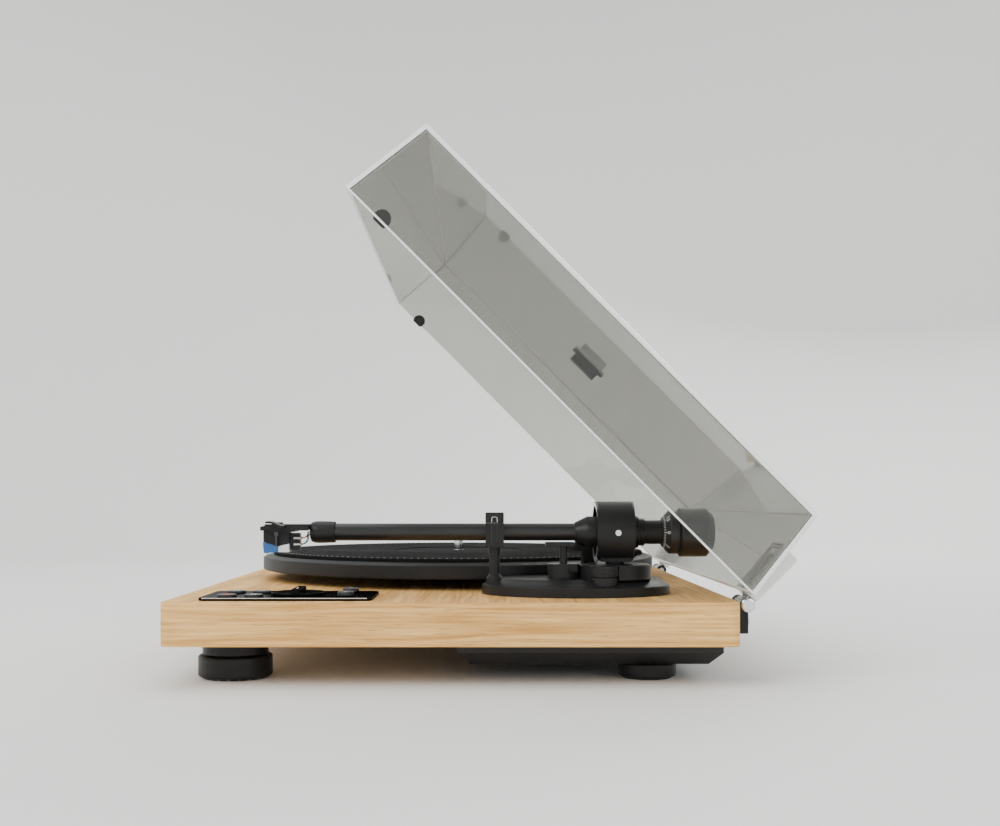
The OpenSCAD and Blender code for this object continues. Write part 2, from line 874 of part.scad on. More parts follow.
module bearing_housing() {
    color("gainsboro") placed() difference() {
        union() {
            at_spindle(plinth_top) cylinder(r = bearing_flange_r, h = bearing_flange_t);
            at_spindle(plinth_top - bearing_depth) cylinder(r = bearing_r, h = bearing_depth);
        }
        at_spindle(plinth_top - bearing_depth + bearing_floor_t)
            cylinder(r = bush_r + fixed_gap, h = bearing_depth + bearing_flange_t);
        at_bearing_screws(plinth_top) drill(wood_r + fixed_gap, bearing_flange_t);
    }
}

module bearing_bush() {
    bush_h = bearing_depth - bearing_floor_t + bearing_flange_t;
    color("goldenrod") placed() at_spindle(plinth_top + bearing_flange_t - bush_h) difference() {
        cylinder(r = bush_r, h = bush_h);
        drill(shaft_r + run_gap, bush_h);
    }
}

module wood_screws() {
    color("silver") placed() {
        at_bearing_screws(plinth_top + bearing_flange_t) screw(wood_r, wood_len, wood_head_r, wood_head_h);
        at_motor_screws(plinth_top + motor_plate_t) screw(wood_r, wood_len, wood_head_r, wood_head_h);
        at_hinge_screws(hinge_back) screw(wood_r, wood_len, wood_head_r, wood_head_h);
        at_jack_screws(jack_plate_t) screw(wood_r, wood_len, wood_head_r, wood_head_h);
    }
}

module motor() {
    color("gray") placed() difference() {
        union() {
            at_motor(plinth_top - motor_h) cylinder(r = motor_r, h = motor_h);
            at_motor(plinth_top) cylinder(r = motor_boss_r, h = motor_plate_t + motor_boss_h);
        }
        at_motor(plinth_top - motor_h / 2) cylinder(r = motor_shaft_r + run_gap, h = motor_h);
    }
}

module motor_plate() {
    color("darkgray") placed() difference() {
        at_motor(plinth_top) cylinder(r = motor_plate_r, h = motor_plate_t);
        at_motor(plinth_top) drill(motor_boss_r + fixed_gap, motor_plate_t);
        at_motor_screws(plinth_top) drill(wood_r + fixed_gap, motor_plate_t);
    }
}

module motor_pulley() {
    pulley_bottom = plinth_top + motor_plate_t + motor_boss_h + air_gap;
    shaft_bottom = plinth_top - motor_h / 2 + air_gap;
    belt_low = belt_z - belt_side_gap;
    belt_high = belt_z + belt_h + belt_side_gap;
    color("lightgray") placed() at_motor(0) rotate_extrude() union() {
        translate([0, shaft_bottom]) square([motor_shaft_r, pulley_bottom - shaft_bottom]);
        translate([0, pulley_bottom]) square([pulley_r - pulley_flange_h, belt_high - pulley_bottom]);
        translate([0, belt_low]) square([pulley_r, belt_high - belt_low]);
        translate([0, belt_low - pulley_flange_h]) square([pulley_flange_r, pulley_flange_h]);
        translate([0, belt_high]) square([pulley_flange_r, pulley_flange_h]);
    }
}

// The loop round the drive ring and the pulley, at a distance outside both
module belt_loop(out) {
    hull() {
        at_spindle(0) circle(r = drive_r + out);
        at_motor(0) circle(r = pulley_r + out);
    }
}

module drive_belt() {
    color([0.12, 0.12, 0.12]) placed() translate([0, 0, belt_z]) linear_extrude(belt_h) difference() {
        belt_loop(air_gap + belt_t);
        belt_loop(air_gap);
    }
}

module sub_platter() {
    plate_r = drive_r + sub_lip;
    color([0.2, 0.2, 0.2]) placed() at_spindle(0) difference() {
        union() {
            translate([0, 0, drive_top]) cylinder(r = plate_r, h = sub_plate_t);
            translate([0, 0, drive_bottom]) cylinder(r = drive_r, h = drive_top - drive_bottom);
            translate([0, 0, web_bottom]) cylinder(r = centring_r, h = centring_h);
        }
        translate([0, 0, drive_bottom - overrun]) difference() {
            cylinder(r = drive_r - drive_wall, h = drive_top - drive_bottom + overrun);
            cylinder(r = hub_r, h = drive_top - drive_bottom + overrun);
        }
        cylinder(r = shaft_r + run_gap, h = mat_top);
    }
}

module platter() {
    color([0.16, 0.16, 0.16]) placed() at_spindle(0) difference() {
        rotate_extrude() union() {
            polygon([
                [0, web_bottom], [platter_r - rim_w, web_bottom], [platter_r - rim_w, rim_bottom],
                [platter_r - rim_edge_r, rim_bottom], [platter_r, rim_bottom + rim_edge_r],
                [platter_r, rim_top], [platter_r - shoulder_w, platter_top], [0, platter_top],
            ]);
        }
        translate([0, 0, web_bottom - overrun])
            cylinder(r = centring_r + fixed_gap, h = web_t + 2 * overrun);
    }
}

module platter_mat() {
    color([0.1, 0.1, 0.1]) placed() at_spindle(platter_top) difference() {
        cylinder(r = mat_r, h = mat_t);
        drill(pin_r + mat_hole_gap, mat_t);
        translate([0, 0, mat_t - mat_step_h]) cylinder(r = mat_step_r, h = mat_step_h + overrun);
    }
}

module spindle() {
    shaft_low = plinth_top - bearing_depth + bearing_floor_t;
    shaft_high = web_bottom + centring_h;
    pin_shoulder = mat_top + pin_h - pin_tip_h;
    color("silver") placed() at_spindle(0) rotate_extrude()
        polygon([
            [0, shaft_low], [shaft_r, shaft_low], [shaft_r, shaft_high], [pin_r + pin_step, shaft_high],
            [pin_r + pin_step, mat_top], [pin_r, mat_top], [pin_r, pin_shoulder],
            [pin_tip_r, pin_shoulder + pin_tip_h], [0, pin_shoulder + pin_tip_h],
        ]);
}

module control_panel() {
    stand_h = control_board_drop;
    color([0.05, 0.05, 0.05]) placed() difference() {
        union() {
            translate([panel_x, panel_y, plinth_top])
                rounded_slab(panel_w, panel_d, panel_t, panel_corner_r);
            at_board_corners(plinth_top - stand_h) cylinder(r = control_boss_r, h = stand_h);
        }
        for (side = [-1, 1], share = button_shares)
            at_control(side, share, plinth_top) drill(button_r + fixed_gap, panel_t);
        for (side = [-1, 1])
            at_control(side, knob_share, plinth_top) drill(knob_stem_r + run_gap, panel_t);
        at_control(0, selector_share, plinth_top) drill(knob_stem_r + run_gap, panel_t);
    }
}

// Places children at a control: side -1 is the row nearer the platter and 1 the row nearer the plinth's
// side
module at_control(side, share, z) {
    translate([panel_x + side * row_share * panel_w, panel_y + (share - 1 / 2) * panel_d, z]) children();
}

module at_board_corners(z) {
    for (x = [-1, 1], y = [-1, 1]) {
        translate([
            panel_x + x * (panel_w / 2 - pocket_margin - control_boss_inset),
            panel_y + y * (panel_d / 2 - pocket_margin - control_boss_inset), z,
        ]) children();
    }
}

module control_board() {
    w = panel_w - 2 * pocket_margin - 2 * fixed_gap;
    d = panel_d - 2 * pocket_margin - 2 * fixed_gap;
    z = plinth_top - control_board_drop - board_t;
    color("darkgreen") placed() union() {
        translate([panel_x - w / 2, panel_y - d / 2, z]) cube([w, d, board_t]);
        for (side = [-1, 1], share = button_shares) {
            at_control(side, share, z + board_t) translate([-switch_w / 2, -switch_w / 2, 0])
                cube([switch_w, switch_w, switch_h]);
        }
    }
}

module push_button(side, share) {
    cap_low = panel_top - panel_t - button_skirt;
    stem_low = plinth_top - control_board_drop + switch_h + button_travel + air_gap;
    at_control(side, share, 0) union() {
        translate([0, 0, cap_low]) cylinder(r = button_r, h = panel_top + button_up - cap_low);
        translate([0, 0, stem_low]) cylinder(r = button_stem_r, h = cap_low - stem_low);
    }
}

module button_near_front() {
    color([0.55, 0.1, 0.1]) placed() push_button(1, button_shares[0]);
}

module button_near_back() {
    color([0.3, 0.3, 0.3]) placed() push_button(1, button_shares[1]);
}

module button_far_front() {
    color([0.2, 0.2, 0.2]) placed() push_button(-1, button_shares[0]);
}

module button_far_back() {
    color([0.2, 0.2, 0.2]) placed() push_button(-1, button_shares[1]);
}

module small_knob(side) {
    at_control(side, knob_share, 0) union() {
        translate([0, 0, panel_top + air_gap]) cylinder(r = knob_r, h = knob_up - air_gap - knob_edge);
        translate([0, 0, panel_top + knob_up - knob_edge])
            cylinder(r1 = knob_r, r2 = knob_r - knob_edge, h = knob_edge);
        translate([0, 0, panel_top - knob_stem_len]) cylinder(r = knob_stem_r, h = knob_stem_len + air_gap);
    }
}

module knob_near() {
    color([0.25, 0.25, 0.25]) placed() small_knob(1);
}

module knob_far() {
    color([0.2, 0.2, 0.2]) placed() small_knob(-1);
}

module speed_selector() {
    blade_l = 2 * selector_r * selector_blade_l_share;
    color([0.12, 0.12, 0.12]) placed() at_control(0, selector_share, 0) union() {
        translate([0, 0, panel_top + air_gap]) cylinder(r = selector_r, h = selector_t);
        translate([-blade_l / 2, -selector_blade_w / 2, panel_top + air_gap])
            cube([blade_l, selector_blade_w, selector_t + selector_blade_h]);
        translate([0, 0, panel_top - knob_stem_len]) cylinder(r = knob_stem_r, h = knob_stem_len + air_gap);
    }
}

module main_board() {
    z = box_z + box_wall + board_stand_h;
    chip_w = 16;
    chip_h = 3;
    transformer_w = 26;
    transformer_h = 5;
    color("darkgreen") placed() union() {
        translate([board_x - board_w / 2, box_y - board_d / 2, z]) cube([board_w, board_d, board_t]);
        translate([board_x - chip_w / 2, box_y - chip_w / 2, z + board_t]) cube([chip_w, chip_w, chip_h]);
        translate([board_x - board_w / 2 + chip_w, box_y - transformer_w, z + board_t])
            cube([transformer_w, transformer_w, transformer_h]);
    }
}

module jack_plate() {
    back = plinth_d / 2;
    color([0.1, 0.1, 0.1]) placed() difference() {
        translate([jack_x - jack_plate_w / 2, back, jack_z - jack_plate_h / 2])
            cube([jack_plate_w, jack_plate_t, jack_plate_h]);
        for (x = phono_places) at_jack(x, 0) drill(phono_r + fixed_gap, jack_plate_t);
        at_jack(ground_place, 0) drill(ground_stem_r + fixed_gap, jack_plate_t);
        at_jack(power_place, 0) drill(power_r + fixed_gap, jack_plate_t);
        at_jack_screws(0) drill(wood_r + fixed_gap, jack_plate_t);
    }
}

// Places children on the jack plate, with their Z pointing out of the plinth's back
module at_jack(x, out) {
    translate([jack_x + x, plinth_d / 2 + out, jack_z]) rotate([-90, 0, 0]) children();
}

module phono_jacks() {
    color("gold") placed() for (x = phono_places) at_jack(x, 0) difference() {
        union() {
            translate([0, 0, -phono_in]) cylinder(r = phono_in_r, h = phono_in);
            cylinder(r = phono_r, h = jack_plate_t + phono_out);
            translate([0, 0, jack_plate_t]) cylinder(r = phono_nut_r, h = phono_nut_h);
        }
        cylinder(r = phono_bore_r, h = jack_plate_t + phono_out + overrun);
    }
}

module ground_terminal() {
    color("gainsboro") placed() at_jack(ground_place, 0) union() {
        translate([0, 0, -ground_in]) cylinder(r = ground_stem_r, h = ground_in + jack_plate_t);
        translate([0, 0, jack_plate_t]) cylinder(r = ground_r, h = ground_out);
    }
}

module power_socket() {
    color([0.15, 0.15, 0.15]) placed() at_jack(power_place, 0) difference() {
        translate([0, 0, -power_in]) cylinder(r = power_r, h = power_in + jack_plate_t + power_out);
        translate([0, 0, jack_plate_t + power_out - power_depth]) difference() {
            cylinder(r = power_bore_r, h = power_depth + overrun);
            cylinder(r = power_pin_r, h = power_depth - overrun);
        }
    }
}

module hinge_sockets() {
    color([0.08, 0.08, 0.08]) placed() difference() {
        for (side = [-1, 1]) translate([side * hinge_x, 0, 0]) {
            union() {
                translate([-hinge_w / 2, plinth_d / 2, socket_top - socket_h])
                    cube([hinge_w, hinge_back, socket_h]);
                for (half = [-1, 1]) {
                    translate([half * (hinge_w - ear_w) / 2 - ear_w / 2, plinth_d / 2,
                            socket_top - overrun])
                        cube([ear_w, hinge_back, hinge_z - socket_top + overrun]);
                    translate([half * (hinge_w - ear_w) / 2 - ear_w / 2, hinge_y, hinge_z])
                        rotate([0, 90, 0])
                        cylinder(r = ear_r, h = ear_w);
                }
            }
        }
        for (side = [-1, 1]) translate([side * hinge_x - hinge_w / 2 - overrun, hinge_y, hinge_z])
            rotate([0, 90, 0])
            cylinder(r = hinge_pin_r + fixed_gap, h = hinge_w + 2 * overrun);
        // Clearance round the turning knuckle
        for (side = [-1, 1]) translate([side * hinge_x - hinge_w / 2 + ear_w, hinge_y, hinge_z])
            rotate([0, 90, 0])
            cylinder(r = knuckle_r + air_gap, h = hinge_w - 2 * ear_w);
        at_hinge_screws(0) drill(wood_r + fixed_gap, hinge_back);
    }
}

module hinge_pins() {
    color("silver") placed() for (side = [-1, 1]) {
        translate([side * hinge_x - hinge_w / 2, hinge_y, hinge_z]) rotate([0, 90, 0])
            cylinder(r = hinge_pin_r, h = hinge_w);
    }
}

module hinge_knuckles() {
    color("lightgray") placed() opened() for (side = [-1, 1]) translate([side * hinge_x, 0, 0])
        difference() {
        union() {
            translate([-knuckle_w / 2, hinge_y, hinge_z]) rotate([0, 90, 0])
                cylinder(r = knuckle_r, h = knuckle_w);
            translate([-tongue_w / 2, tongue_y - tongue_t / 2, hinge_z])
                cube([tongue_w, tongue_t, tongue_len]);
        }
        translate([-knuckle_w / 2 - overrun, hinge_y, hinge_z]) rotate([0, 90, 0])
            cylinder(r = hinge_pin_r + run_gap, h = knuckle_w + 2 * overrun);
    }
}

module dust_cover() {
    slot_w = tongue_w + 2 * tongue_gap;
    slot_t = tongue_t + 2 * tongue_gap;
    slot_h = hinge_z + tongue_len + tongue_gap - lid_z;
    color([0.8, 0.82, 0.84, 0.4]) placed() opened() difference() {
        union() {
            translate([0, lid_y, lid_z]) leaning_box(lid_w, lid_d, lid_h, lid_draft);
            for (side = [-1, 1]) {
                translate([side * hinge_x - holder_w / 2, lid_back - holder_out, lid_z])
                    cube([holder_w, 2 * holder_out, holder_h]);
            }
        }
        translate([0, lid_y, lid_z - overrun])
            leaning_box(lid_w - 2 * lid_wall, lid_d - 2 * lid_wall, lid_h - lid_wall + overrun, lid_draft);
        for (side = [-1, 1]) {
            translate([side * hinge_x - slot_w / 2, tongue_y - slot_t / 2, lid_z - overrun])
                cube([slot_w, slot_t, slot_h + overrun]);
        }
    }
}

module lid_bumpers() {
    inner_x = lid_w / 2 - lid_wall - overrun * tan(lid_draft) - fixed_gap;
    color([0.05, 0.05, 0.05]) placed() opened() for (side = [-1, 1]) {
        translate([side * inner_x, lid_front + bumper_place, lid_z]) rotate([0, -side * lid_draft, 0])
            translate([-side * bumper_t / 2 - bumper_t / 2, 0, 0]) rotate([0, 90, 0]) intersection() {
                translate([-bumper_up, 0, 0]) cylinder(r = bumper_r, h = bumper_t);
                translate([-bumper_r - bumper_up, -bumper_r, 0])
                    cube([bumper_r + bumper_up + lid_gap - air_gap, 2 * bumper_r, bumper_t]);
            }
    }
}

module lid_pad() {
    top = lid_z + lid_h - lid_wall;
    color([0.05, 0.05, 0.05]) placed() opened() union() {
        translate([-lid_pad_flange.x / 2, lid_y - lid_pad_flange.y / 2, top - lid_pad_flange.z])
            cube(lid_pad_flange);
        translate([-lid_pad_block.x / 2, lid_y - lid_pad_block.y / 2,
                top - lid_pad_flange.z - lid_pad_block.z])
            cube(lid_pad_block);
    }
}

// Points of an oval with half-lengths a across and b front to back
function oval(a, b) =
    [for (i = [0 : base_points - 1]) [a * cos(360 * i / base_points), b * sin(360 * i / base_points)]];

// The solid oval of the arm base: an upright edge, then a slope up to the flat top
module base_body() {
    union() {
        linear_extrude(base_edge_h) polygon(oval(base_wide / 2, base_len / 2));
        hull() {
            translate([0, 0, base_edge_h - overrun]) linear_extrude(overrun)
                polygon(oval(base_wide / 2, base_len / 2));
            translate([0, 0, base_top_h - overrun]) linear_extrude(overrun)
                polygon(oval(base_wide / 2 - slope_in_x, base_len / 2 - slope_in_y));
        }
    }
}

module arm_base() {
    color([0.2, 0.2, 0.2]) placed() difference() {
        translate([base_x, base_y, plinth_top]) base_body();
        at_spindle(plinth_top) drill(platter_r + base_platter_gap, base_top_h);
        at_pivot(plinth_top) drill(stem_r + fixed_gap, base_top_h);
        translate([skate_x, skate_y, skate_floor]) cylinder(r = skate_r + skate_pocket_gap, h = base_top_h);
        translate([skate_x, skate_y, plinth_top + overrun])
            cylinder(r = skate_stem_r + run_gap, h = base_top_h);
        translate([pivot_x, rest_y, rest_foot_z]) cylinder(r = rest_foot_r + fixed_gap, h = base_top_h);
    }
}

module pivot_tower() {
    color([0.18, 0.18, 0.18]) placed() difference() {
        union() {
            at_pivot(base_top) cylinder(r = tower_r, h = tower_h - tower_edge);
            at_pivot(tower_top - tower_edge)
                cylinder(r1 = tower_r, r2 = tower_r - tower_edge, h = tower_edge);
            at_pivot(tower_top) cylinder(r = tower_neck_r, h = neck_top - tower_top);
            at_pivot(plinth_clear - nut_h) cylinder(r = stem_r, h = base_top - plinth_clear + nut_h);
        }
        at_pivot(plinth_top) cylinder(r = shaft_down_r + run_gap, h = neck_top);
        translate([skate_x, skate_y, skate_floor])
            cylinder(r = skate_r + skate_pocket_gap, h = skate_h + tower_h);
        translate([cue_x, pivot_y, cue_z]) rotate([0, 90, 0])
            cylinder(r = cue_shaft_r + run_gap, h = cue_shaft_len + air_gap);
    }
}

module arm_nut() {
    color("silver") placed() at_pivot(plinth_clear - nut_h) difference() {
        cylinder(r = nut_r, h = nut_h, $fn = 6);
        drill(stem_r + fixed_gap, nut_h);
    }
}

module anti_skate_knob() {
    color([0.14, 0.14, 0.14]) placed() translate([skate_x, skate_y, skate_floor + air_gap]) union() {
        translate([0, 0, -skate_stem_len]) cylinder(r = skate_stem_r, h = skate_stem_len);
        cylinder(r1 = skate_foot_r, r2 = skate_r, h = skate_foot_h);
        translate([0, 0, skate_foot_h]) cylinder(r = skate_r, h = skate_groove_z - skate_foot_h);
        translate([0, 0, skate_groove_z]) cylinder(r = skate_r - skate_groove_in, h = skate_groove_h);
        translate([0, 0, skate_groove_z + skate_groove_h])
            cylinder(r = skate_r, h = skate_h - skate_groove_z - skate_groove_h);
    }
}

module arm_rest() {
    floor_low = cradle_floor_top - cradle_floor_t;
    cheek_x = pivot_x + cheek_in;
    latch_x = cheek_x + cheek_t / 2;
    cradle_w = cradle_front + cheek_in + cheek_t;
    color([0.15, 0.15, 0.15]) placed() difference() {
        union() {
            translate([pivot_x, rest_y, rest_foot_z]) cylinder(r = rest_foot_r, h = base_top - rest_foot_z);
            translate([pivot_x, rest_y, base_top])
                cylinder(r1 = rest_foot_r, r2 = rest_post_r, h = rest_flare_h / 2);
            translate([pivot_x, rest_y, base_top]) cylinder(r = rest_post_r, h = floor_low - base_top);
            translate([pivot_x, rest_y, floor_low - rest_collar_h])
                cylinder(r = rest_collar_r, h = rest_collar_h);
            translate([pivot_x - cradle_front, rest_y - cradle_d / 2, floor_low])
                cube([cradle_w, cradle_d, cradle_floor_t]);
            translate([cheek_x, rest_y - cradle_d / 2, floor_low])
                cube([cheek_t, cradle_d, cheek_top - floor_low]);
            translate([pivot_x - cradle_front, rest_y - cradle_d / 2, floor_low])
                cube([cradle_lip_t, cradle_d, cradle_floor_t + cradle_lip_h]);
        }
        translate([latch_x, rest_y + latch_back, cheek_top - latch_pin_len])
            cylinder(r = latch_pin_r + run_gap, h = latch_pin_len + overrun);
    }
}

module rest_latch() {
    latch_x = pivot_x + cheek_in + cheek_t / 2;
    color([0.25, 0.25, 0.25]) placed()
        translate([latch_x, rest_y + latch_back, cheek_top + fixed_gap]) union() {
        translate([0, 0, air_gap - fixed_gap - latch_pin_len]) cylinder(r = latch_pin_r, h = latch_pin_len);
        cylinder(r = cheek_t / 2, h = latch_h);
        translate([-cheek_t / 2, cheek_t / 2 - cradle_d, 0])
            cube([cheek_t, cradle_d - cheek_t / 2, latch_h]);
    }
}

module lift_base() {
    color([0.16, 0.16, 0.16]) placed() translate([pivot_x, lift_y, base_top]) difference() {
        cylinder(r = lift_base_r, h = lift_base_h);
        translate([0, 0, air_gap]) cylinder(r = lift_post_r + run_gap, h = lift_base_h + overrun);
        translate([lift_base_r - lift_notch_d, lift_post_r, lift_base_h - lift_notch_h])
            cube([lift_notch_d + overrun, lift_notch_w, lift_notch_h + overrun]);
    }
}

// A ring sector round the arm's pivot, this far outside the lift bar's curved wall on both sides
module lift_wall(start, sweep, z, h, out) {
    at_pivot(z) rotate([0, 0, -90 - start - sweep]) rotate_extrude(angle = sweep)
        translate([lift_reach - lift_fin_t / 2 - out, 0]) square([lift_fin_t + 2 * out, h]);
}

module lift_bar() {
    pad_low = lift_pad_top - lift_pad_t;
    fin_low = pad_low - lift_fin_h;
    leg_low = base_top + lift_base_h + lift_travel + air_gap;
    wall_h = lift_pad_top - lift_wall_drop - lift_leg_end_z;
    arch_start = lift_fin_start + lift_leg_sweep;
    arch_sweep = lift_fin_sweep - lift_leg_sweep - lift_leg_end_sweep;
    color([0.18, 0.18, 0.18]) placed() union() {
        translate([pivot_x, lift_y, lift_post_low]) cylinder(r = lift_post_r, h = pad_low - lift_post_low);
        translate([pivot_x - lift_pad_w / 2, pivot_y - lift_pad_front, pad_low])
            cube([lift_pad_w, lift_pad_front - lift_pad_back, lift_pad_t]);
        difference() {
            lift_wall(lift_fin_start, lift_fin_sweep, lift_leg_end_z, wall_h, 0);
            lift_wall(lift_fin_start - overrun, lift_leg_sweep + 2 * overrun, lift_leg_end_z - overrun,
                leg_low - lift_leg_end_z + overrun, overrun);
            lift_wall(arch_start, arch_sweep, lift_leg_end_z - overrun,
                fin_low - lift_leg_end_z + overrun, overrun);
        }
    }
}

module cue_lever() {
    color([0.2, 0.2, 0.2]) placed() translate([cue_x, pivot_y, cue_z]) union() {
        rotate([0, 90, 0]) cylinder(r = cue_shaft_r, h = cue_shaft_len);
        translate([-cue_arm_w / 2, 0, 0]) rotate([0, 90, 0]) cylinder(r = cue_hub_r, h = cue_arm_w);
        rotate([cue_rest_angle, 0, 0]) union() {
            translate([-cue_arm_w / 2, 0, -cue_arm_w / 2]) cube([cue_arm_w, cue_arm_len, cue_arm_w]);
            translate([0, cue_arm_len, 0]) rotate([-90, 0, 0])
                cylinder(r1 = cue_grip_r, r2 = cue_grip_tip_r, h = cue_grip_len);
        }
    }
}

module gimbal_ring() {
    ring_len = ring_front + ring_back;
    color([0.12, 0.12, 0.12]) placed() difference() {
        union() {
            difference() {
                behind_arm(-ring_front) cylinder(r = ring_r, h = ring_len);
                translate([pivot_x - ring_r, pivot_y - ring_front - overrun, arm_z - ring_r - overrun])
                    cube([2 * ring_r, ring_len + 2 * overrun, ring_r - ring_flat + overrun]);
            }
            translate([pivot_x - saddle_w / 2, pivot_y - saddle_d / 2, arm_z - saddle_drop])
                cube([saddle_w, saddle_d, saddle_drop - ring_flat + ring_wall]);
            at_pivot(base_top) cylinder(r = shaft_down_r, h = arm_h - base_top_h - saddle_drop + overrun);
        }
        behind_arm(-ring_front) drill(ring_r - ring_wall, ring_len);
        translate([pivot_x - ring_r - overrun, pivot_y, arm_z]) rotate([0, 90, 0])
            cylinder(r = pivot_screw_r + fixed_gap, h = 2 * ring_r + 2 * overrun);
    }
}

module bearing_screws() {
    shank_len = ring_r - sleeve_r - air_gap + pivot_screw_out;
    color("silver") placed() for (side = [0, 180]) {
        at_pivot(arm_z) rotate([0, 0, side]) rotate([0, 90, 0]) difference() {
            union() {
                translate([0, 0, sleeve_r + air_gap]) cylinder(r = pivot_screw_r, h = shank_len);
                translate([0, 0, sleeve_r + air_gap - pivot_tip_len])
                    cylinder(r = pivot_tip_r, h = pivot_tip_len);
            }
            translate([-pivot_screw_r - overrun, -pivot_slot_w / 2,
                    ring_r + pivot_screw_out - pivot_slot_depth])
                cube([2 * (pivot_screw_r + overrun), pivot_slot_w, pivot_slot_depth + overrun]);
        }
    }
}

module bearing_sleeve() {
    color([0.14, 0.14, 0.14]) placed() difference() {
        along_arm(0) rotate_extrude()
            polygon([
                [0, -sleeve_back], [sleeve_r, -sleeve_back], [sleeve_r, sleeve_front],
                [bell_r, sleeve_front + overrun], [bell_r, bell_len], [cone_top_r, cone_front], [0,
                cone_front],
            ]);
        along_arm(tube_back) cylinder(r = tube_r + fixed_gap, h = cone_front);
        behind_arm(sleeve_back - spigot_len) cylinder(r = spigot_r + fixed_gap, h = spigot_len + overrun);
        translate([pivot_x - sleeve_r - overrun, pivot_y, arm_z]) rotate([0, 90, 0])
            cylinder(r = pivot_tip_r + run_gap, h = pivot_tip_len + overrun);
        translate([pivot_x + sleeve_r - pivot_tip_len, pivot_y, arm_z]) rotate([0, 90, 0])
            cylinder(r = pivot_tip_r + run_gap, h = pivot_tip_len + overrun);
    }
}

module arm_tube() {
    color([0.12, 0.12, 0.12]) placed() difference() {
        along_arm(tube_back) cylinder(r = tube_r, h = tube_front - tube_back);
        along_arm(tube_back) drill(tube_r - tube_wall, tube_front - tube_back);
    }
}

module rear_stub() {
    color([0.16, 0.16, 0.16]) placed() union() {
        behind_arm(sleeve_back - spigot_len) cylinder(r = spigot_r, h = spigot_len);
        behind_arm(sleeve_back) cylinder(r = flange_r, h = flange_end - sleeve_back);
        behind_arm(flange_end) cylinder(r = stub_collar_r, h = stub_collar_end - flange_end);
        behind_arm(stub_collar_end) cylinder(r = stub_r, h = stub_end - stub_collar_end);
    }
}

module weight_sleeve() {
    color("gray") placed() behind_arm(weight_sleeve_front) difference() {
        cylinder(r = weight_bore_r, h = weight_sleeve_end - weight_sleeve_front);
        drill(stub_r + run_gap, weight_sleeve_end - weight_sleeve_front);
    }
}

module counterweight() {
    color([0.14, 0.14, 0.14]) placed() behind_arm(0) difference() {
        rotate_extrude()
            polygon([
                [0, weight_front], [weight_nose_r, weight_front], [weight_r, weight_shoulder],
                [weight_r, weight_taper], [weight_heel_r, weight_heel], [weight_heel_r - overrun,
                weight_end], [0, weight_end],
            ]);
        translate([0, 0, weight_front - overrun])
            cylinder(r = weight_bore_r + run_gap, h = weight_floor - weight_front + overrun);
    }
}

module dial_ring() {
    color([0.16, 0.16, 0.16]) placed() behind_arm(0) difference() {
        rotate_extrude()
            polygon([
                [0, dial_front], [dial_front_r, dial_front], [dial_r, dial_cone_end], [dial_r, dial_end],
                [0, dial_end],
            ]);
        translate([0, 0, dial_front - overrun])
            cylinder(r = stub_r + air_gap, h = dial_lip_t + 2 * overrun);
        translate([0, 0, dial_front + dial_lip_t]) cylinder(r = weight_bore_r + run_gap, h = dial_end);
    }
}

module head_collar() {
    color([0.12, 0.12, 0.12]) placed() difference() {
        along_arm(collar_front - collar_len) cylinder(r = collar_r, h = collar_len);
        along_arm(collar_front - collar_len - overrun)
            cylinder(r = tube_r + run_gap, h = tube_front - collar_front + collar_len + overrun);
        along_arm(tube_front - overrun) cylinder(r = shell_stem_r + run_gap, h = collar_len);
        along_arm(collar_front - collar_lip)
            cylinder(r1 = shell_stem_r + run_gap, r2 = collar_nose_r, h = collar_lip + run_gap);
    }
}

module headshell() {
    top = arm_z + shell_top_h;
    length = shell_front - shell_back;
    stem_back = tube_front - collar_lip;
    inner_w = shell_w - 2 * shell_wall;
    color([0.12, 0.12, 0.12]) placed() difference() {
        union() {
            difference() {
                translate([pivot_x - shell_w / 2, pivot_y - shell_front, top - shell_h])
                    cube([shell_w, length, shell_h]);
                translate([pivot_x - inner_w / 2, pivot_y - shell_front - overrun, top - shell_h - overrun])
                    cube([inner_w, length + 2 * overrun, shell_h - shell_plate_t + overrun]);
                // The plate slopes down towards its front edge
                translate([pivot_x - shell_w / 2 - overrun, pivot_y - shell_front, top - shell_plate_t / 2])
                    rotate([shell_slope, 0, 0]) translate([0, -shell_plate_t, 0])
                        cube([shell_w + 2 * overrun, 3 * shell_plate_t, 2 * shell_plate_t]);
            }
            along_arm(stem_back) cylinder(r = shell_stem_r, h = shell_back - stem_back);
            // Finger lift
            translate([pivot_x + shell_w / 2 - shell_wall, pivot_y - shell_front + shell_plate_t,
                    top - finger_t])
                rotate([0, -finger_tilt, 0]) cube([finger_reach, finger_len, finger_t]);
        }
        at_cartridge_screws(top - shell_h) cylinder(r = mount_screw_r + fixed_gap, h = 2 * shell_h);
    }
}

module at_cartridge_screws(z) {
    for (side = [-1, 1]) translate([pivot_x + side * mount_pitch / 2, pivot_y - mount_reach, z]) children();
}

// Turns an outline drawn in [Y, Z] into a slab of this width, centred on the arm
module arm_slab(w) {
    translate([pivot_x - w / 2, pivot_y, 0]) rotate([90, 0, 90]) linear_extrude(w) children();
}

// Points of the guard's outline, moved out by a gap, and of the plug's outline
function guard_points(gap) =
    [for (p = guard_shares) [p.x * guard_len - guard_front, guard_bottom + p.y * guard_h + gap]];
function plug_points(gap) =
    [for (p = plug_shares) [guard_len - guard_front + p.x * plug_len, guard_bottom + p.y * guard_h + gap]];

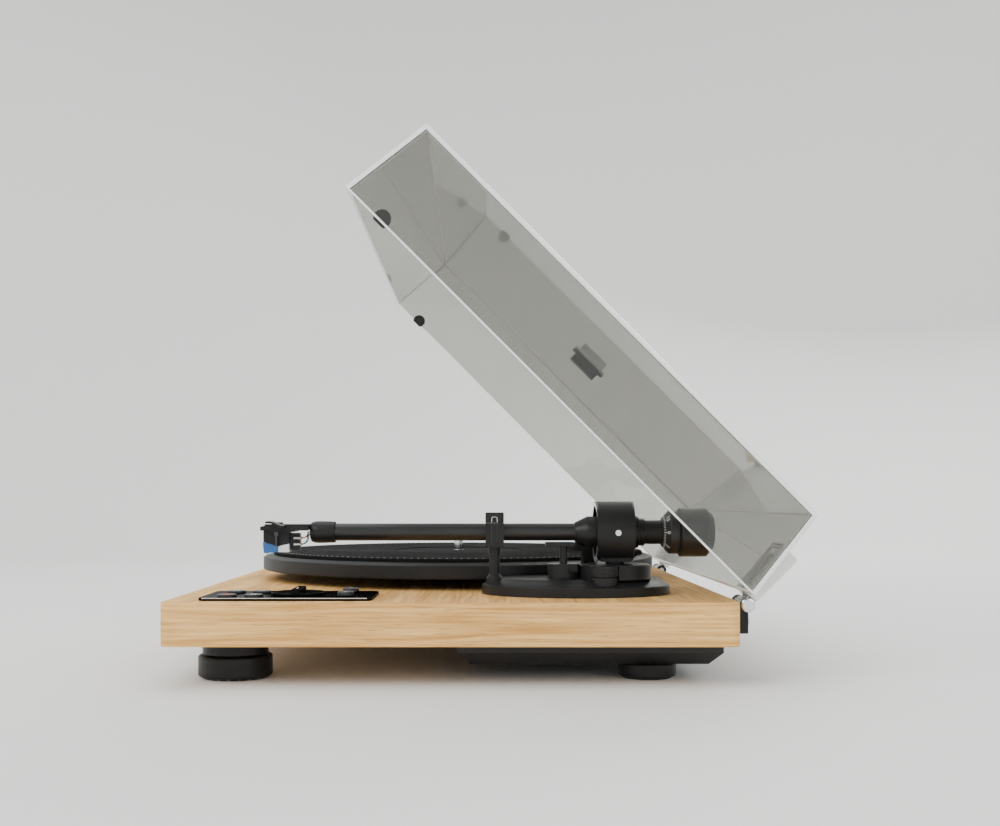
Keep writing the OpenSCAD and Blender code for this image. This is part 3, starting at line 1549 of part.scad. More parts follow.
module cartridge() {
    guard = guard_points(stylus_gap);
    plug = plug_points(stylus_gap);
    color([0.1, 0.1, 0.1]) placed() difference() {
        union() {
            // The body's underside follows the top of the stylus
            arm_slab(cartridge_w) polygon([
                [-cartridge_front, cartridge_top], [-cartridge_front, guard[0].y], guard[1], plug[0],
                [-cartridge_back, plug[1].y], [-cartridge_back, cartridge_top],
            ]);
            translate([pivot_x - lug_w / 2, pivot_y - lug_front, cartridge_top - lug_t])
                cube([lug_w, lug_front - lug_back, lug_t]);
            translate([pivot_x - tail_w / 2, pivot_y - cartridge_back, tail_bottom])
                cube([tail_w, cartridge_back - tail_back, tail_top - tail_bottom]);
            for (side = [-1, 1], drop = terminal_drops) {
                translate([pivot_x + side * terminal_across, pivot_y - cartridge_back, arm_z - drop])
                    rotate([-90, 0, 0]) cylinder(r = terminal_r, h = terminal_len);
            }
        }
        at_cartridge_screws(cartridge_top - lug_t) drill(mount_screw_r + fixed_gap, lug_t);
    }
}

module cartridge_screws() {
    top = arm_z + shell_top_h;
    nut_top = cartridge_top - lug_t;
    color("silver") placed() at_cartridge_screws(0) union() {
        translate([0, 0, mount_screw_end]) cylinder(r = mount_screw_r, h = top - mount_screw_end);
        translate([0, 0, top]) cylinder(r = mount_head_r, h = mount_head_h);
        translate([0, 0, nut_top - mount_nut_h]) cylinder(r = mount_nut_r, h = mount_nut_h, $fn = 6);
    }
}

module stylus() {
    color("royalblue") placed() union() {
        arm_slab(stylus_w) polygon(guard_points(0));
        arm_slab(stylus_w) polygon(plug_points(0));
        arm_slab(tip_w) polygon([
            [-arm_reach, guard_bottom + overrun], [-arm_reach, guard_bottom],
            [-arm_reach + tip_len / 4, guard_bottom - tip_h], [-arm_reach + tip_len,
            guard_bottom + overrun],
        ]);
    }
}

plinth();
underside_box();
underside_screws();
front_foot_necks();
front_foot_pucks();
rear_foot_pucks();
foot_pads();
bearing_housing();
bearing_bush();
wood_screws();
motor();
motor_plate();
drive_belt();
control_panel();
control_board();
main_board();
jack_plate();
phono_jacks();
power_socket();
ground_terminal();
hinge_sockets();
hinge_pins();
arm_base();
pivot_tower();
arm_nut();
arm_rest();
lift_base();
platter();
sub_platter();
spindle();
platter_mat();
motor_pulley();
gimbal_ring();
bearing_screws();
arm_tube();
bearing_sleeve();
rear_stub();
headshell();
cartridge();
cartridge_screws();
head_collar();
stylus();
weight_sleeve();
counterweight();
dial_ring();
lift_bar();
cue_lever();
rest_latch();
anti_skate_knob();
dust_cover();
hinge_knuckles();
lid_bumpers();
lid_pad();
button_near_front();
button_near_back();
button_far_front();
button_far_back();
knob_near();
knob_far();
speed_selector();
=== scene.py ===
"""Looks of a belt-driven turntable with an open clear dust cover, built round its fixed CAD frame."""

from __future__ import annotations

import json
import logging
import math
from dataclasses import dataclass, field
from enum import Enum
from typing import Any, Callable, ClassVar, Sequence

import bpy
from mathutils import Matrix, Vector

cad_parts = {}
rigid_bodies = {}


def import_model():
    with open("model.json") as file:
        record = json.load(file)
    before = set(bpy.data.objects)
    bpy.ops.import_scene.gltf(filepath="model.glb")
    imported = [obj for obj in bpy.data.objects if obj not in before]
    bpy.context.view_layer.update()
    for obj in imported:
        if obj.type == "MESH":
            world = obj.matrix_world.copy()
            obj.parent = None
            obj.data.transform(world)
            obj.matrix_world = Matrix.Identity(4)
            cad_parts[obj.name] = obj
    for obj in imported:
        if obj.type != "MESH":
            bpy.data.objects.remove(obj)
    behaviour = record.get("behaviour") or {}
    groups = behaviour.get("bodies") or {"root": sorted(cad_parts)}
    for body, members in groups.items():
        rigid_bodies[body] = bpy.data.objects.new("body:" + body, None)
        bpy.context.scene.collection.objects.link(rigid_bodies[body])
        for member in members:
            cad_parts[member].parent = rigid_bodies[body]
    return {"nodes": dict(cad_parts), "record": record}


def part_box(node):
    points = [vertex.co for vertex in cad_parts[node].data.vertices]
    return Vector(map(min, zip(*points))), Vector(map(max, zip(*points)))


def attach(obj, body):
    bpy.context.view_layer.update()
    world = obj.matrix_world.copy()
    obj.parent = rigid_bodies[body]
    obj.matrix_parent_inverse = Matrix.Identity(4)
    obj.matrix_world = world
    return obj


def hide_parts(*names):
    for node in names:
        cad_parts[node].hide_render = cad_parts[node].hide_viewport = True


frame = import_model()

MM = 0.001
FULL_TURN = 2 * math.pi
# How much of a normal lies along an axis where a face faces that way
FACING = 0.9
# The knee and the curve of the sRGB scale
SRGB_KNEE, SRGB_SLOPE, SRGB_OFFSET, SRGB_POWER = 0.04045, 12.92, 0.055, 2.4
LOG = logging.getLogger("turntable")

Point = tuple[float, float, float]
Profile = Sequence[tuple[float, float]]


class Slot(Enum):
    """The record's material slots."""

    OAK = "oak_veneer"
    BOX = "box_plastic"
    FOOT = "foot_plastic"
    RUBBER = "black_rubber"
    STEEL = "steel"
    ALUMINIUM = "bearing_aluminium"
    BRONZE = "bush_bronze"
    MOTOR = "motor_metal"
    PANEL = "panel_black"
    BOARD = "board_green"
    PLATE = "plate_black"
    GOLD = "gold_plate"
    CHROME = "bright_chrome"
    ARM = "arm_black"
    TUBE = "arm_tube_black"
    PLATTER = "platter_black"
    MAT = "mat_rubber"
    CARTRIDGE = "cartridge_black"
    STYLUS = "stylus_blue"
    WEIGHT = "weight_black"
    CLEAR = "clear_smoke"
    BUTTON = "button_grey"


class Axis(Enum):
    """The direction that a turned piece was turned about."""

    X = (1.0, 0.0, 0.0)
    Y = (0.0, 1.0, 0.0)
    Z = (0.0, 0.0, 1.0)

    @property
    def across(self) -> Vector:
        """A direction square to the axis, in which a profile's radius is drawn."""
        return Vector((1, 0, 0)) if self is not Axis.X else Vector((0, 0, 1))


# Finishes


def linear(code: str) -> tuple[float, float, float, float]:
    """The linear colour of an sRGB hex value.

    Args:
        code: six hex digits after a hash.

    Returns:
        Red, green, blue and a full alpha.
    """
    parts = [int(code[i : i + 2], 16) / 255 for i in (1, 3, 5)]
    red, green, blue = (
        p / SRGB_SLOPE if p <= SRGB_KNEE else ((p + SRGB_OFFSET) / (1 + SRGB_OFFSET)) ** SRGB_POWER
        for p in parts
    )
    return (red, green, blue, 1.0)


def add_node(
    tree: bpy.types.NodeTree, kind: str, inputs: dict[Any, Any] | None = None, **settings: Any
) -> Any:
    """Adds a node with its settings and links.

    Args:
        tree: the material's node tree.
        kind: the node's type.
        inputs: a value or an output socket for each named input.
        settings: the node's own properties.

    Returns:
        The new node.
    """
    node = tree.nodes.new(kind)
    for key, value in settings.items():
        setattr(node, key, value)
    for key, value in (inputs or {}).items():
        if isinstance(value, bpy.types.NodeSocket):
            tree.links.new(value, node.inputs[key])
        else:
            node.inputs[key].default_value = value
    return node


@dataclass(frozen=True)
class Finish:
    """A moulded or painted surface: an even colour that clouds a little, over a fine grain."""

    name: str
    slot: Slot
    light: str
    dark: str
    roughness: float
    metallic: float = 0.0
    ior: float = 1.5
    grain_mm: float = 1.2
    relief_mm: float = 0.03
    cloud_mm: float = 35.0
    coat: float = 0.0
    coat_roughness: float = 0.08
    specular: float = 0.5
    cloud_detail: float = 2.0
    grain_detail: float = 3.0
    rough_swing: float = 0.15
    bump_strength: float = 0.5

    made: ClassVar[dict[str, bpy.types.Material]] = {}

    def material(self) -> bpy.types.Material:
        """The finish as a node material, made once.

        Returns:
            The material.
        """
        if self.name not in Finish.made:
            new = bpy.data.materials.new(self.name)
            new.use_nodes = True
            new.node_tree.nodes.clear()
            shader = add_node(new.node_tree, "ShaderNodeBsdfPrincipled")
            add_node(new.node_tree, "ShaderNodeOutputMaterial", {"Surface": shader.outputs[0]})
            self.dress(new.node_tree, shader)
            Finish.made[self.name] = new
        return Finish.made[self.name]

    def dress(self, tree: bpy.types.NodeTree, shader: Any) -> None:
        """Sets the shader's constants and links its patterns.

        Args:
            tree: the material's node tree.
            shader: the material's main shader.
        """
        self.constants(shader)
        place = add_node(tree, "ShaderNodeTexCoord").outputs["Object"]
        cloud = self.noise(tree, place, self.cloud_mm, self.cloud_detail)
        self.tint(tree, shader, cloud)
        least = self.roughness * (1 - self.rough_swing)
        most = min(self.roughness * (1 + self.rough_swing), 1.0)
        rough = add_node(tree, "ShaderNodeMapRange", {"Value": cloud, "To Min": least, "To Max": most})
        tree.links.new(rough.outputs["Result"], shader.inputs["Roughness"])
        self.relief(tree, shader, self.surface(tree, place))

    def constants(self, shader: Any) -> None:
        """Sets what is the same all over the surface.

        Args:
            shader: the material's main shader.
        """
        for socket, value in (
            ("Metallic", self.metallic),
            ("IOR", self.ior),
            ("Coat Weight", self.coat),
            ("Coat Roughness", self.coat_roughness),
            ("Specular IOR Level", self.specular),
        ):
            shader.inputs[socket].default_value = value

    def surface(self, tree: bpy.types.NodeTree, place: Any) -> Any:
        """The height that the surface's grain stands at: a fine even noise."""
        return self.noise(tree, place, self.grain_mm, self.grain_detail)

    def tint(self, tree: bpy.types.NodeTree, shader: Any, share: Any) -> None:
        """Mixes the two colours by a share from 0 to 1.

        Args:
            tree: the material's node tree.
            shader: the material's main shader.
            share: the socket that holds the share of the lighter one.
        """
        mixed = add_node(
            tree, "ShaderNodeMix", {0: share, 6: linear(self.dark), 7: linear(self.light)}, data_type="RGBA"
        )
        tree.links.new(mixed.outputs[2], shader.inputs["Base Color"])

    def relief(self, tree: bpy.types.NodeTree, shader: Any, height: Any) -> None:
        """Turns a height into a bump as deep as the finish's relief.

        Args:
            tree: the material's node tree.
            shader: the material's main shader.
            height: the socket that holds the height.
        """
        settings = {"Height": height, "Strength": self.bump_strength, "Distance": self.relief_mm * MM}
        bump = add_node(tree, "ShaderNodeBump", settings)
        tree.links.new(bump.outputs["Normal"], shader.inputs["Normal"])

    @staticmethod
    def noise(tree: bpy.types.NodeTree, place: Any, size_mm: float, detail: float) -> Any:
        """A noise whose patches are about that many millimetres across.

        Args:
            tree: the material's node tree.
            place: the socket that holds the place.
            size_mm: the patches' size.
            detail: how many finer noises lie on it.

        Returns:
            The noise's socket.
        """
        return add_node(
            tree, "ShaderNodeTexNoise", {"Vector": place, "Scale": 1 / (size_mm * MM), "Detail": detail}
        ).outputs["Fac"]


@dataclass(frozen=True)
class Turned(Finish):
    """A lathe-turned surface: fine lines run round it, one after another along its axis."""

    axis: Axis = Axis.Y
    line_mm: float = 0.9
    line_detail: float = 1.0

    def surface(self, tree: bpy.types.NodeTree, place: Any) -> Any:
        """Lines that change along the axis and with the distance from it, and hardly round it.

        Args:
            tree: the material's node tree.
            place: the socket that holds the place.

        Returns:
            The height's socket.
        """
        axis = self.axis.value
        keep = tuple(1.0 - part for part in axis)
        flat = add_node(tree, "ShaderNodeVectorMath", {0: place, 1: keep}, operation="MULTIPLY").outputs[0]
        radius = add_node(tree, "ShaderNodeVectorMath", {0: flat}, operation="LENGTH").outputs["Value"]
        along = add_node(tree, "ShaderNodeVectorMath", {0: place, 1: axis}, operation="DOT_PRODUCT")
        pair = add_node(tree, "ShaderNodeCombineXYZ", {"X": radius, "Y": along.outputs["Value"]}).outputs[0]
        return self.noise(tree, pair, self.line_mm, self.line_detail)


@dataclass(frozen=True)
class Oak(Finish):
    """Straight-grained veneer: it runs across the top, and round the sides as one strip."""

    pore: str = "#A9824F"
    streak_mm: tuple[float, float] = (70.0, 2.4)
    pore_mm: tuple[float, float] = (16.0, 0.9)
    band_mm: tuple[float, float] = (260.0, 13.0)
    wave_mm: tuple[float, float] = (150.0, 40.0)
    sway_mm: float = 3.0
    top_from: float = 0.7
    streak_share: float = 0.6
    spread: tuple[float, float] = (0.36, 0.62)
    pore_spread: tuple[float, float] = (0.6, 0.72)
    pore_share: float = 0.65

    def dress(self, tree: bpy.types.NodeTree, shader: Any) -> None:
        """Bands, streaks and pores, each stretched along the grain.

        Args:
            tree: the material's node tree.
            shader: the material's main shader.
        """
        self.constants(shader)
        sources = add_node(tree, "ShaderNodeTexCoord")
        place = add_node(tree, "ShaderNodeSeparateXYZ", {0: sources.outputs["Object"]}).outputs
        facing = add_node(tree, "ShaderNodeSeparateXYZ", {0: sources.outputs["Normal"]}).outputs
        upright = add_node(tree, "ShaderNodeMath", {0: facing["Z"]}, operation="ABSOLUTE").outputs[0]
        is_top = add_node(tree, "ShaderNodeMath", {0: upright, 1: self.top_from}, operation="GREATER_THAN")
        round_side = add_node(tree, "ShaderNodeMath", {0: place["X"], 1: place["Y"]}, operation="ADD")
        is_top, round_side = is_top.outputs[0], round_side.outputs[0]
        along = self.choose(tree, is_top, round_side, place["X"])
        across = self.choose(tree, is_top, place["Z"], place["Y"])
        wave = self.stretched(tree, along, across, self.wave_mm, 1.0)
        reach = self.sway_mm * MM
        sway = add_node(tree, "ShaderNodeMapRange", {"Value": wave, "To Min": -reach, "To Max": reach})
        across = add_node(tree, "ShaderNodeMath", {0: across, 1: sway.outputs[0]}, operation="ADD").outputs[0]
        bands = self.stretched(tree, along, across, self.band_mm, 2.0)
        streaks = self.stretched(tree, along, across, self.streak_mm, 3.0)
        pores = self.stretched(tree, along, across, self.pore_mm, 1.0)
        blend = {0: self.streak_share, 2: bands, 3: streaks}
        share = add_node(tree, "ShaderNodeMix", blend, data_type="FLOAT").outputs[0]
        share = self.between(tree, share, self.spread)
        colours = {0: share, 6: linear(self.dark), 7: linear(self.light)}
        wood = add_node(tree, "ShaderNodeMix", colours, data_type="RGBA").outputs[2]
        open_pore = self.between(tree, pores, self.pore_spread, self.pore_share)
        wood = add_node(
            tree, "ShaderNodeMix", {0: open_pore, 6: wood, 7: linear(self.pore)}, data_type="RGBA"
        ).outputs[2]
        tree.links.new(wood, shader.inputs["Base Color"])
        roughest = self.roughness + self.rough_swing
        rough = add_node(
            tree, "ShaderNodeMapRange", {"Value": streaks, "To Min": self.roughness, "To Max": roughest}
        )
        tree.links.new(rough.outputs[0], shader.inputs["Roughness"])
        sunk = add_node(tree, "ShaderNodeMath", {0: 1.0, 1: open_pore}, operation="SUBTRACT").outputs[0]
        self.relief(tree, shader, sunk)

    @staticmethod
    def between(tree: bpy.types.NodeTree, value: Any, ends: tuple[float, float], most: float = 1.0) -> Any:
        """A value spread from nothing to the most between two ends, and held there beyond them."""
        inputs = {"Value": value, "From Min": ends[0], "From Max": ends[1], "To Max": most}
        return add_node(tree, "ShaderNodeMapRange", inputs, clamp=True).outputs[0]

    @staticmethod
    def choose(tree: bpy.types.NodeTree, switch: Any, off: Any, on: Any) -> Any:
        """One of two numbers by a switch of 0 or 1."""
        return add_node(tree, "ShaderNodeMix", {0: switch, 2: off, 3: on}, data_type="FLOAT").outputs[0]

    @staticmethod
    def stretched(
        tree: bpy.types.NodeTree, along: Any, across: Any, size_mm: tuple[float, float], detail: float
    ) -> Any:
        """A noise whose patches are that long along the grain and that wide across it, in millimetres.

        Args:
            tree: the material's node tree.
            along: the socket of the place along the grain.
            across: that of the place across it.
            size_mm: the patches' length and width.
            detail: how many finer noises lie on it.

        Returns:
            The noise's socket.
        """
        length, width = (
            add_node(tree, "ShaderNodeMath", {0: way, 1: 1 / (size * MM)}, operation="MULTIPLY").outputs[0]
            for way, size in zip((along, across), size_mm)
        )
        pair = add_node(tree, "ShaderNodeCombineXYZ", {"X": length, "Y": width}).outputs[0]
        inputs = {"Vector": pair, "Scale": 1.0, "Detail": detail}
        return add_node(tree, "ShaderNodeTexNoise", inputs).outputs["Fac"]


@dataclass(frozen=True)
class Clear(Finish):
    """Clear plastic: light goes through it and takes its tint, and the rest stays as faint haze."""

    transmission: float = 1.0

    def dress(self, tree: bpy.types.NodeTree, shader: Any) -> None:
        """The plain finish, let through."""
        super().dress(tree, shader)
        shader.inputs["Transmission Weight"].default_value = self.transmission


# Oak veneer, sliced, sanded and lacquered satin: pale straw with brown streaks and short dark pores
OAK = Oak("oak_veneer_satin_lacquer", Slot.OAK, "#F0C27C", "#C18D4A", 0.5, specular=0.1, relief_mm=0.08)
# Moulded ABS with a spark-eroded grain: a dull dark grey that breaks up every highlight
BOX_ABS = Finish("moulded_abs_grained", Slot.BOX, "#1E1E1F", "#19191A", 0.6, relief_mm=0.04)
# Moulded ABS, satin: near-black with a soft round highlight
FOOT_ABS = Finish("moulded_abs_satin", Slot.FOOT, "#1B1B1C", "#161617", 0.42, specular=0.25)
# Moulded nitrile rubber: black and almost without gloss
RUBBER = Finish("nitrile_rubber", Slot.RUBBER, "#191919", "#141414", 0.7, relief_mm=0.02)
# Zinc-plated steel: a cool grey metal with a faint cloudy plating
ZINC = Finish("zinc_plated_steel", Slot.STEEL, "#B9BABC", "#9FA1A4", 0.32, metallic=1.0, cloud_mm=4.0)
# Turned aluminium: pale metal with lines round it
ALUMINIUM = Turned("turned_aluminium", Slot.ALUMINIUM, "#CFD0D2", "#B8B9BC", 0.3, metallic=1.0, axis=Axis.Z)
# Sintered bronze: brown-gold and grainy from its powder
BRONZE = Finish("sintered_bronze", Slot.BRONZE, "#B98B52", "#8F6A3C", 0.5, metallic=1.0, grain_mm=0.8)
# Drawn and plated steel can: a grey sheet metal
MOTOR_CAN = Finish("plated_steel_can", Slot.MOTOR, "#8C8E92", "#74767A", 0.4, metallic=1.0)
# Acrylic sheet over black print: deep black under a thin gloss, so that it stays dark where light grazes it
PIANO_BLACK = Finish(
    "black_acrylic_gloss", Slot.PANEL, "#0C0C0D", "#090909", 0.14, specular=0.0, coat=0.15, relief_mm=0.0
)
# Fibreglass board under solder mask: green, with the weave just showing through
BOARD = Finish(
    "soldermask_on_fibreglass", Slot.BOARD, "#1E5A34", "#15482A", 0.35, grain_mm=1.0, relief_mm=0.04
)
# Powder-coated steel: black with an orange-peel texture
POWDER_COAT = Finish("powder_coated_steel", Slot.PLATE, "#232324", "#1B1B1C", 0.55, relief_mm=0.08)
# Gold flash over nickel: warm, bright and smooth
GOLD = Finish("gold_flashed_brass", Slot.GOLD, "#E3BE6A", "#D1A850", 0.16, metallic=1.0, relief_mm=0.004)
# Tinned spring brass: pale and soft-bright
TINNED = Finish("tinned_spring_clip", Slot.CARTRIDGE, "#EDEAE2", "#DEDAD0", 0.3, metallic=0.8, relief_mm=0.0)
# Bright chrome plate: a mirror with hardly any colour
CHROME = Finish("bright_chrome_plate", Slot.CHROME, "#E4E5E6", "#D3D5D7", 0.08, metallic=1.0, relief_mm=0.003)
# Edge cut bare on the lathe after anodising: a satin line of bare metal
CUT_EDGE = Finish("edge_cut_bare", Slot.CHROME, "#F0F0EE", "#E6E6E4", 0.32, metallic=0.85, relief_mm=0.0)
# Steel wire and screws, blackened: a dark metal line
GUNMETAL = Finish("blackened_steel_wire", Slot.ARM, "#4A4A4B", "#3E3E3F", 0.25, metallic=0.9, relief_mm=0.0)
# Aluminium, bead-blasted and anodised black: a satin near-black with a faint metal sheen
ANODISED = Finish(
    "black_anodised_satin", Slot.ARM, "#242424", "#1E1E1E", 0.36, metallic=0.1, specular=0.2, relief_mm=0.0
)
# Drawn tube, anodised black and polished: smooth, with one long highlight
TUBE_BLACK = Finish("black_anodised_tube", Slot.TUBE, "#2E2E2E", "#2A2A2A", 0.3, metallic=0.5, relief_mm=0.0)
# Die-cast aluminium, painted satin black: an even dark rim with one soft highlight
PLATTER_PAINT = Finish(
    "satin_black_paint_cast", Slot.PLATTER, "#202020", "#1B1B1B", 0.45, specular=0.25, relief_mm=0.0
)
# Rubber sheet, moulded with a fine grain: matt black that hardly greys where light grazes it
MAT_RUBBER = Finish(
    "moulded_rubber_sheet", Slot.MAT, "#1B1B1B", "#171717", 0.75, specular=0.04, relief_mm=0.01, grain_mm=0.8
)
# Rubber dots of the same sheet, a paler grey than it: a row of grey points
MAT_DOT = Finish("pale_grey_rubber_dot", Slot.MAT, "#6E6E6B", "#60605E", 0.6)
# Glass-filled nylon, moulded: dark and slightly streaked
NYLON = Finish("glass_filled_nylon", Slot.CARTRIDGE, "#1A1A1B", "#151516", 0.4, specular=0.25)
# Polycarbonate, moulded and polished in blue: the one strong colour, with a sharp small highlight
BLUE_PC = Finish("blue_polycarbonate", Slot.STYLUS, "#1F5E9E", "#1A5590", 0.22, coat=0.1, relief_mm=0.005)
# Acetal plug, moulded: a plain soft white
WHITE_ACETAL = Finish("white_acetal", Slot.STYLUS, "#F1F1EE", "#DFDFDC", 0.35)
# Steel weight, turned and painted satin black: a warm near-black that shows its round form
WEIGHT_PAINT = Finish(
    "turned_steel_satin_black", Slot.WEIGHT, "#2A2927", "#222120", 0.36, metallic=0.25, relief_mm=0.01
)
# Cast acrylic, lightly smoked: clear and glossy, with a faint milkiness that greys what lies behind it
SMOKED = Clear(
    "smoked_cast_acrylic", Slot.CLEAR, "#BDBDB8", "#B9B9B4", 0.02, ior=1.49, relief_mm=0.0, transmission=0.985
)
# Sawn and flame-polished edge of the same sheet, painted near-white and almost opaque: a painted highlight
# for the light it pipes along, shown as a thin bright line
PAINTED_EDGE_HIGHLIGHT = Clear(
    "acrylic_edge_painted_highlight", Slot.CLEAR, "#FBFBF9", "#F5F5F3", 0.1, ior=1.49, relief_mm=0.0, transmission=0.1
)
# Polycarbonate moulding, frosted: a smoky grey that lets some light through
FROSTED = Clear(
    "frosted_polycarbonate", Slot.CHROME, "#8E8E8B", "#858581", 0.2, ior=1.58, relief_mm=0.0, transmission=0.3
)
# Moulded ABS caps with a fine satin grain: dark and softly lit
BUTTON_ABS = Finish("button_abs", Slot.BUTTON, "#222223", "#1C1C1D", 0.4)
# Pad-printed ink: flat, opaque white
WHITE_INK = Finish("white_ink", Slot.BUTTON, "#E8E8E4", "#D5D5D0", 0.5)
# The same ink in a dull red
RED_INK = Finish("red_ink", Slot.BUTTON, "#C8403A", "#B23630", 0.5)
# Insulators of moulded polypropylene: a red ring and a white one, both waxy
RED_INSULATOR = Finish("red_polypropylene", Slot.GOLD, "#B5302B", "#9C2824", 0.4)
WHITE_INSULATOR = Finish("white_polypropylene", Slot.GOLD, "#E2E2DF", "#D0D0CC", 0.4)
# Litz wire under silicone sleeves: four thin lines of flat colour
WIRE_RED = Finish("wire_sleeve_red", Slot.CARTRIDGE, "#B6443C", "#9C3831", 0.5)
WIRE_BLUE = Finish("wire_sleeve_blue", Slot.CARTRIDGE, "#3F66A8", "#33558E", 0.5)
WIRE_GREEN = Finish("wire_sleeve_green", Slot.CARTRIDGE, "#3E8A55", "#337346", 0.5)
WIRE_WHITE = Finish("wire_sleeve_white", Slot.CARTRIDGE, "#DDDDD8", "#C9C9C4", 0.5)
# Matt paper of the surround: pale, with no gloss
PAPER = Finish("matt_paper", Slot.OAK, "#E6E6E4", "#E2E2E0", 0.9, cloud_mm=900.0, relief_mm=0.0)


# The bench


@dataclass(frozen=True)
class Bench:
    """What is done by hand to one piece at a time, in object and edit mode."""

    merge_mm: float = 0.002
    flat_within: float = math.radians(0.5)
    edge_from: float = math.radians(28)
    smooth_to: float = math.radians(38)
    wire_smooth_to: float = math.radians(50)
    wire_order: int = 3
    wire_steps: int = 3
    letter_steps: int = 4
    letter_mm: float = 0.04

    def hold(self, piece: bpy.types.Object) -> bpy.types.Object:
        """Leaves edit mode, lets go of everything, and selects this piece alone.

        Args:
            piece: the piece.

        Returns:
            The same piece.
        """
        if bpy.context.mode != "OBJECT":
            bpy.ops.object.mode_set(mode="OBJECT")
        bpy.ops.object.select_all(action="DESELECT")
        piece.hide_set(False)
        piece.select_set(True)
        bpy.context.view_layer.objects.active = piece
        return piece

    def settle(self, piece: bpy.types.Object) -> bpy.types.Object:
        """Moves a piece's place, turn and scale into its mesh.

        Args:
            piece: the piece.

        Returns:
            The same piece.
        """
        self.hold(piece)
        bpy.ops.object.transform_apply(location=True, rotation=True, scale=True)
        return piece

    def start_point(self, name: str, place: Vector) -> bpy.types.Object:
        """A piece of one selected vertex at a place, in edit mode.

        Args:
            name: the new piece's name.
            place: where the vertex lies.

        Returns:
            The new piece.
        """
        bpy.ops.object.select_all(action="DESELECT")
        bpy.ops.mesh.primitive_plane_add(size=MM, location=place)
        piece = bpy.context.object
        piece.name = name
        self.settle(piece)
        bpy.ops.object.mode_set(mode="EDIT")
        bpy.ops.mesh.select_mode(type="VERT")
        bpy.ops.mesh.select_all(action="SELECT")
        bpy.ops.mesh.merge(type="CENTER")
        return piece

    def lathe(
        self,
        name: str,
        profile: Profile,
        centre: Vector,
        axis: Axis,
        steps: int,
        sweep: tuple[float, float] = (0.0, FULL_TURN),
    ) -> bpy.types.Object:
        """Draws a profile point by point and spins it about an axis.

        Args:
            name: the piece's name.
            profile: radius and height of each point, in millimetres; the same first and last point closes it.
            centre: a point on the axis, in metres, where heights start.
            axis: the axis.
            steps: how many steps the spin takes.
            sweep: the angle that the spin starts from, and how far it goes.

        Returns:
            The turned piece.
        """
        along = Vector(axis.value)
        across = Matrix.Rotation(sweep[0], 3, along) @ axis.across
        places = [centre + (across * r + along * h) * MM for r, h in profile]
        piece = self.start_point(name, places[0])
        for before, after in zip(places, places[1:]):
            bpy.ops.mesh.extrude_vertices_move(TRANSFORM_OT_translate={"value": after - before})
        bpy.ops.mesh.select_all(action="SELECT")
        bpy.ops.mesh.spin(steps=steps, angle=sweep[1], center=centre, axis=along)
        self.close(partial=sweep[1] < FULL_TURN)
        return piece

    def slab(self, name: str, outline: Sequence[Vector], along: Vector) -> bpy.types.Object:
        """Draws an outline point by point, fills it and extrudes it along a direction.

        Args:
            name: the new piece's name.
            outline: the outline's points, in metres.
            along: how far and where it is extruded.

        Returns:
            The new piece.
        """
        piece = self.start_point(name, outline[0])
        for before, after in zip(outline, outline[1:]):
            bpy.ops.mesh.extrude_vertices_move(TRANSFORM_OT_translate={"value": after - before})
        bpy.ops.mesh.select_all(action="SELECT")
        bpy.ops.mesh.edge_face_add()
        bpy.ops.mesh.extrude_region_move(TRANSFORM_OT_translate={"value": along})
        self.close()
        return piece

    def close(self, partial: bool = False) -> None:
        """Merges doubles, fills open ends if asked, points faces outwards and leaves edit mode.

        Args:
            partial: whether the piece was spun less than all round.
        """
        bpy.ops.mesh.select_all(action="SELECT")
        bpy.ops.mesh.remove_doubles(threshold=self.merge_mm * MM)
        if partial:
            bpy.ops.mesh.fill_holes(sides=0)
            bpy.ops.mesh.select_all(action="SELECT")
        bpy.ops.mesh.normals_make_consistent(inside=False)
        bpy.ops.object.mode_set(mode="OBJECT")

    def pick(self, piece: bpy.types.Object, test: Callable[[Any], bool], edges: bool = False) -> None:
        """Selects faces, or edges, by a test on their place, and enters edit mode.

        Args:
            piece: the piece.
            test: what a face or an edge has to pass.
            edges: whether edges are meant.
        """
        self.hold(piece)
        bpy.ops.object.mode_set(mode="EDIT")
        bpy.ops.mesh.select_mode(type="EDGE" if edges else "FACE")
        bpy.ops.mesh.select_all(action="DESELECT")
        bpy.ops.object.mode_set(mode="OBJECT")
        for part in piece.data.edges if edges else piece.data.polygons:
            part.select = test(part)
        bpy.ops.object.mode_set(mode="EDIT")

    def block(
        self, name: str, centre: Vector, size_mm: Point, edge_mm: float, segments: int
    ) -> bpy.types.Object:
        """A block with all its edges rounded by the bevel tool.

        Args:
            name: the new piece's name.
            centre: its middle, in metres.
            size_mm: its width, depth and height.
            edge_mm: how far each edge is rounded.
            segments: how many steps the rounding has.

        Returns:
            The new piece.
        """
        bpy.ops.object.select_all(action="DESELECT")
        bpy.ops.mesh.primitive_cube_add(size=1, location=centre, scale=[s * MM for s in size_mm])
        piece = bpy.context.object
        piece.name = name
        self.settle(piece)
        self.pick(piece, lambda edge: True, edges=True)
        bpy.ops.mesh.bevel(offset=edge_mm * MM, segments=segments)
        self.close()
        return piece

    def modify(self, piece: bpy.types.Object, kind: str, **settings: Any) -> None:
        """Adds a modifier with its settings and applies it.

        Args:
            piece: the piece.
            kind: the modifier's type.
            settings: its properties.
        """
        self.hold(piece)
        modifier = piece.modifiers.new(kind.lower(), kind)
        for key, value in settings.items():
            setattr(modifier, key, value)
        bpy.ops.object.modifier_apply(modifier=modifier.name)

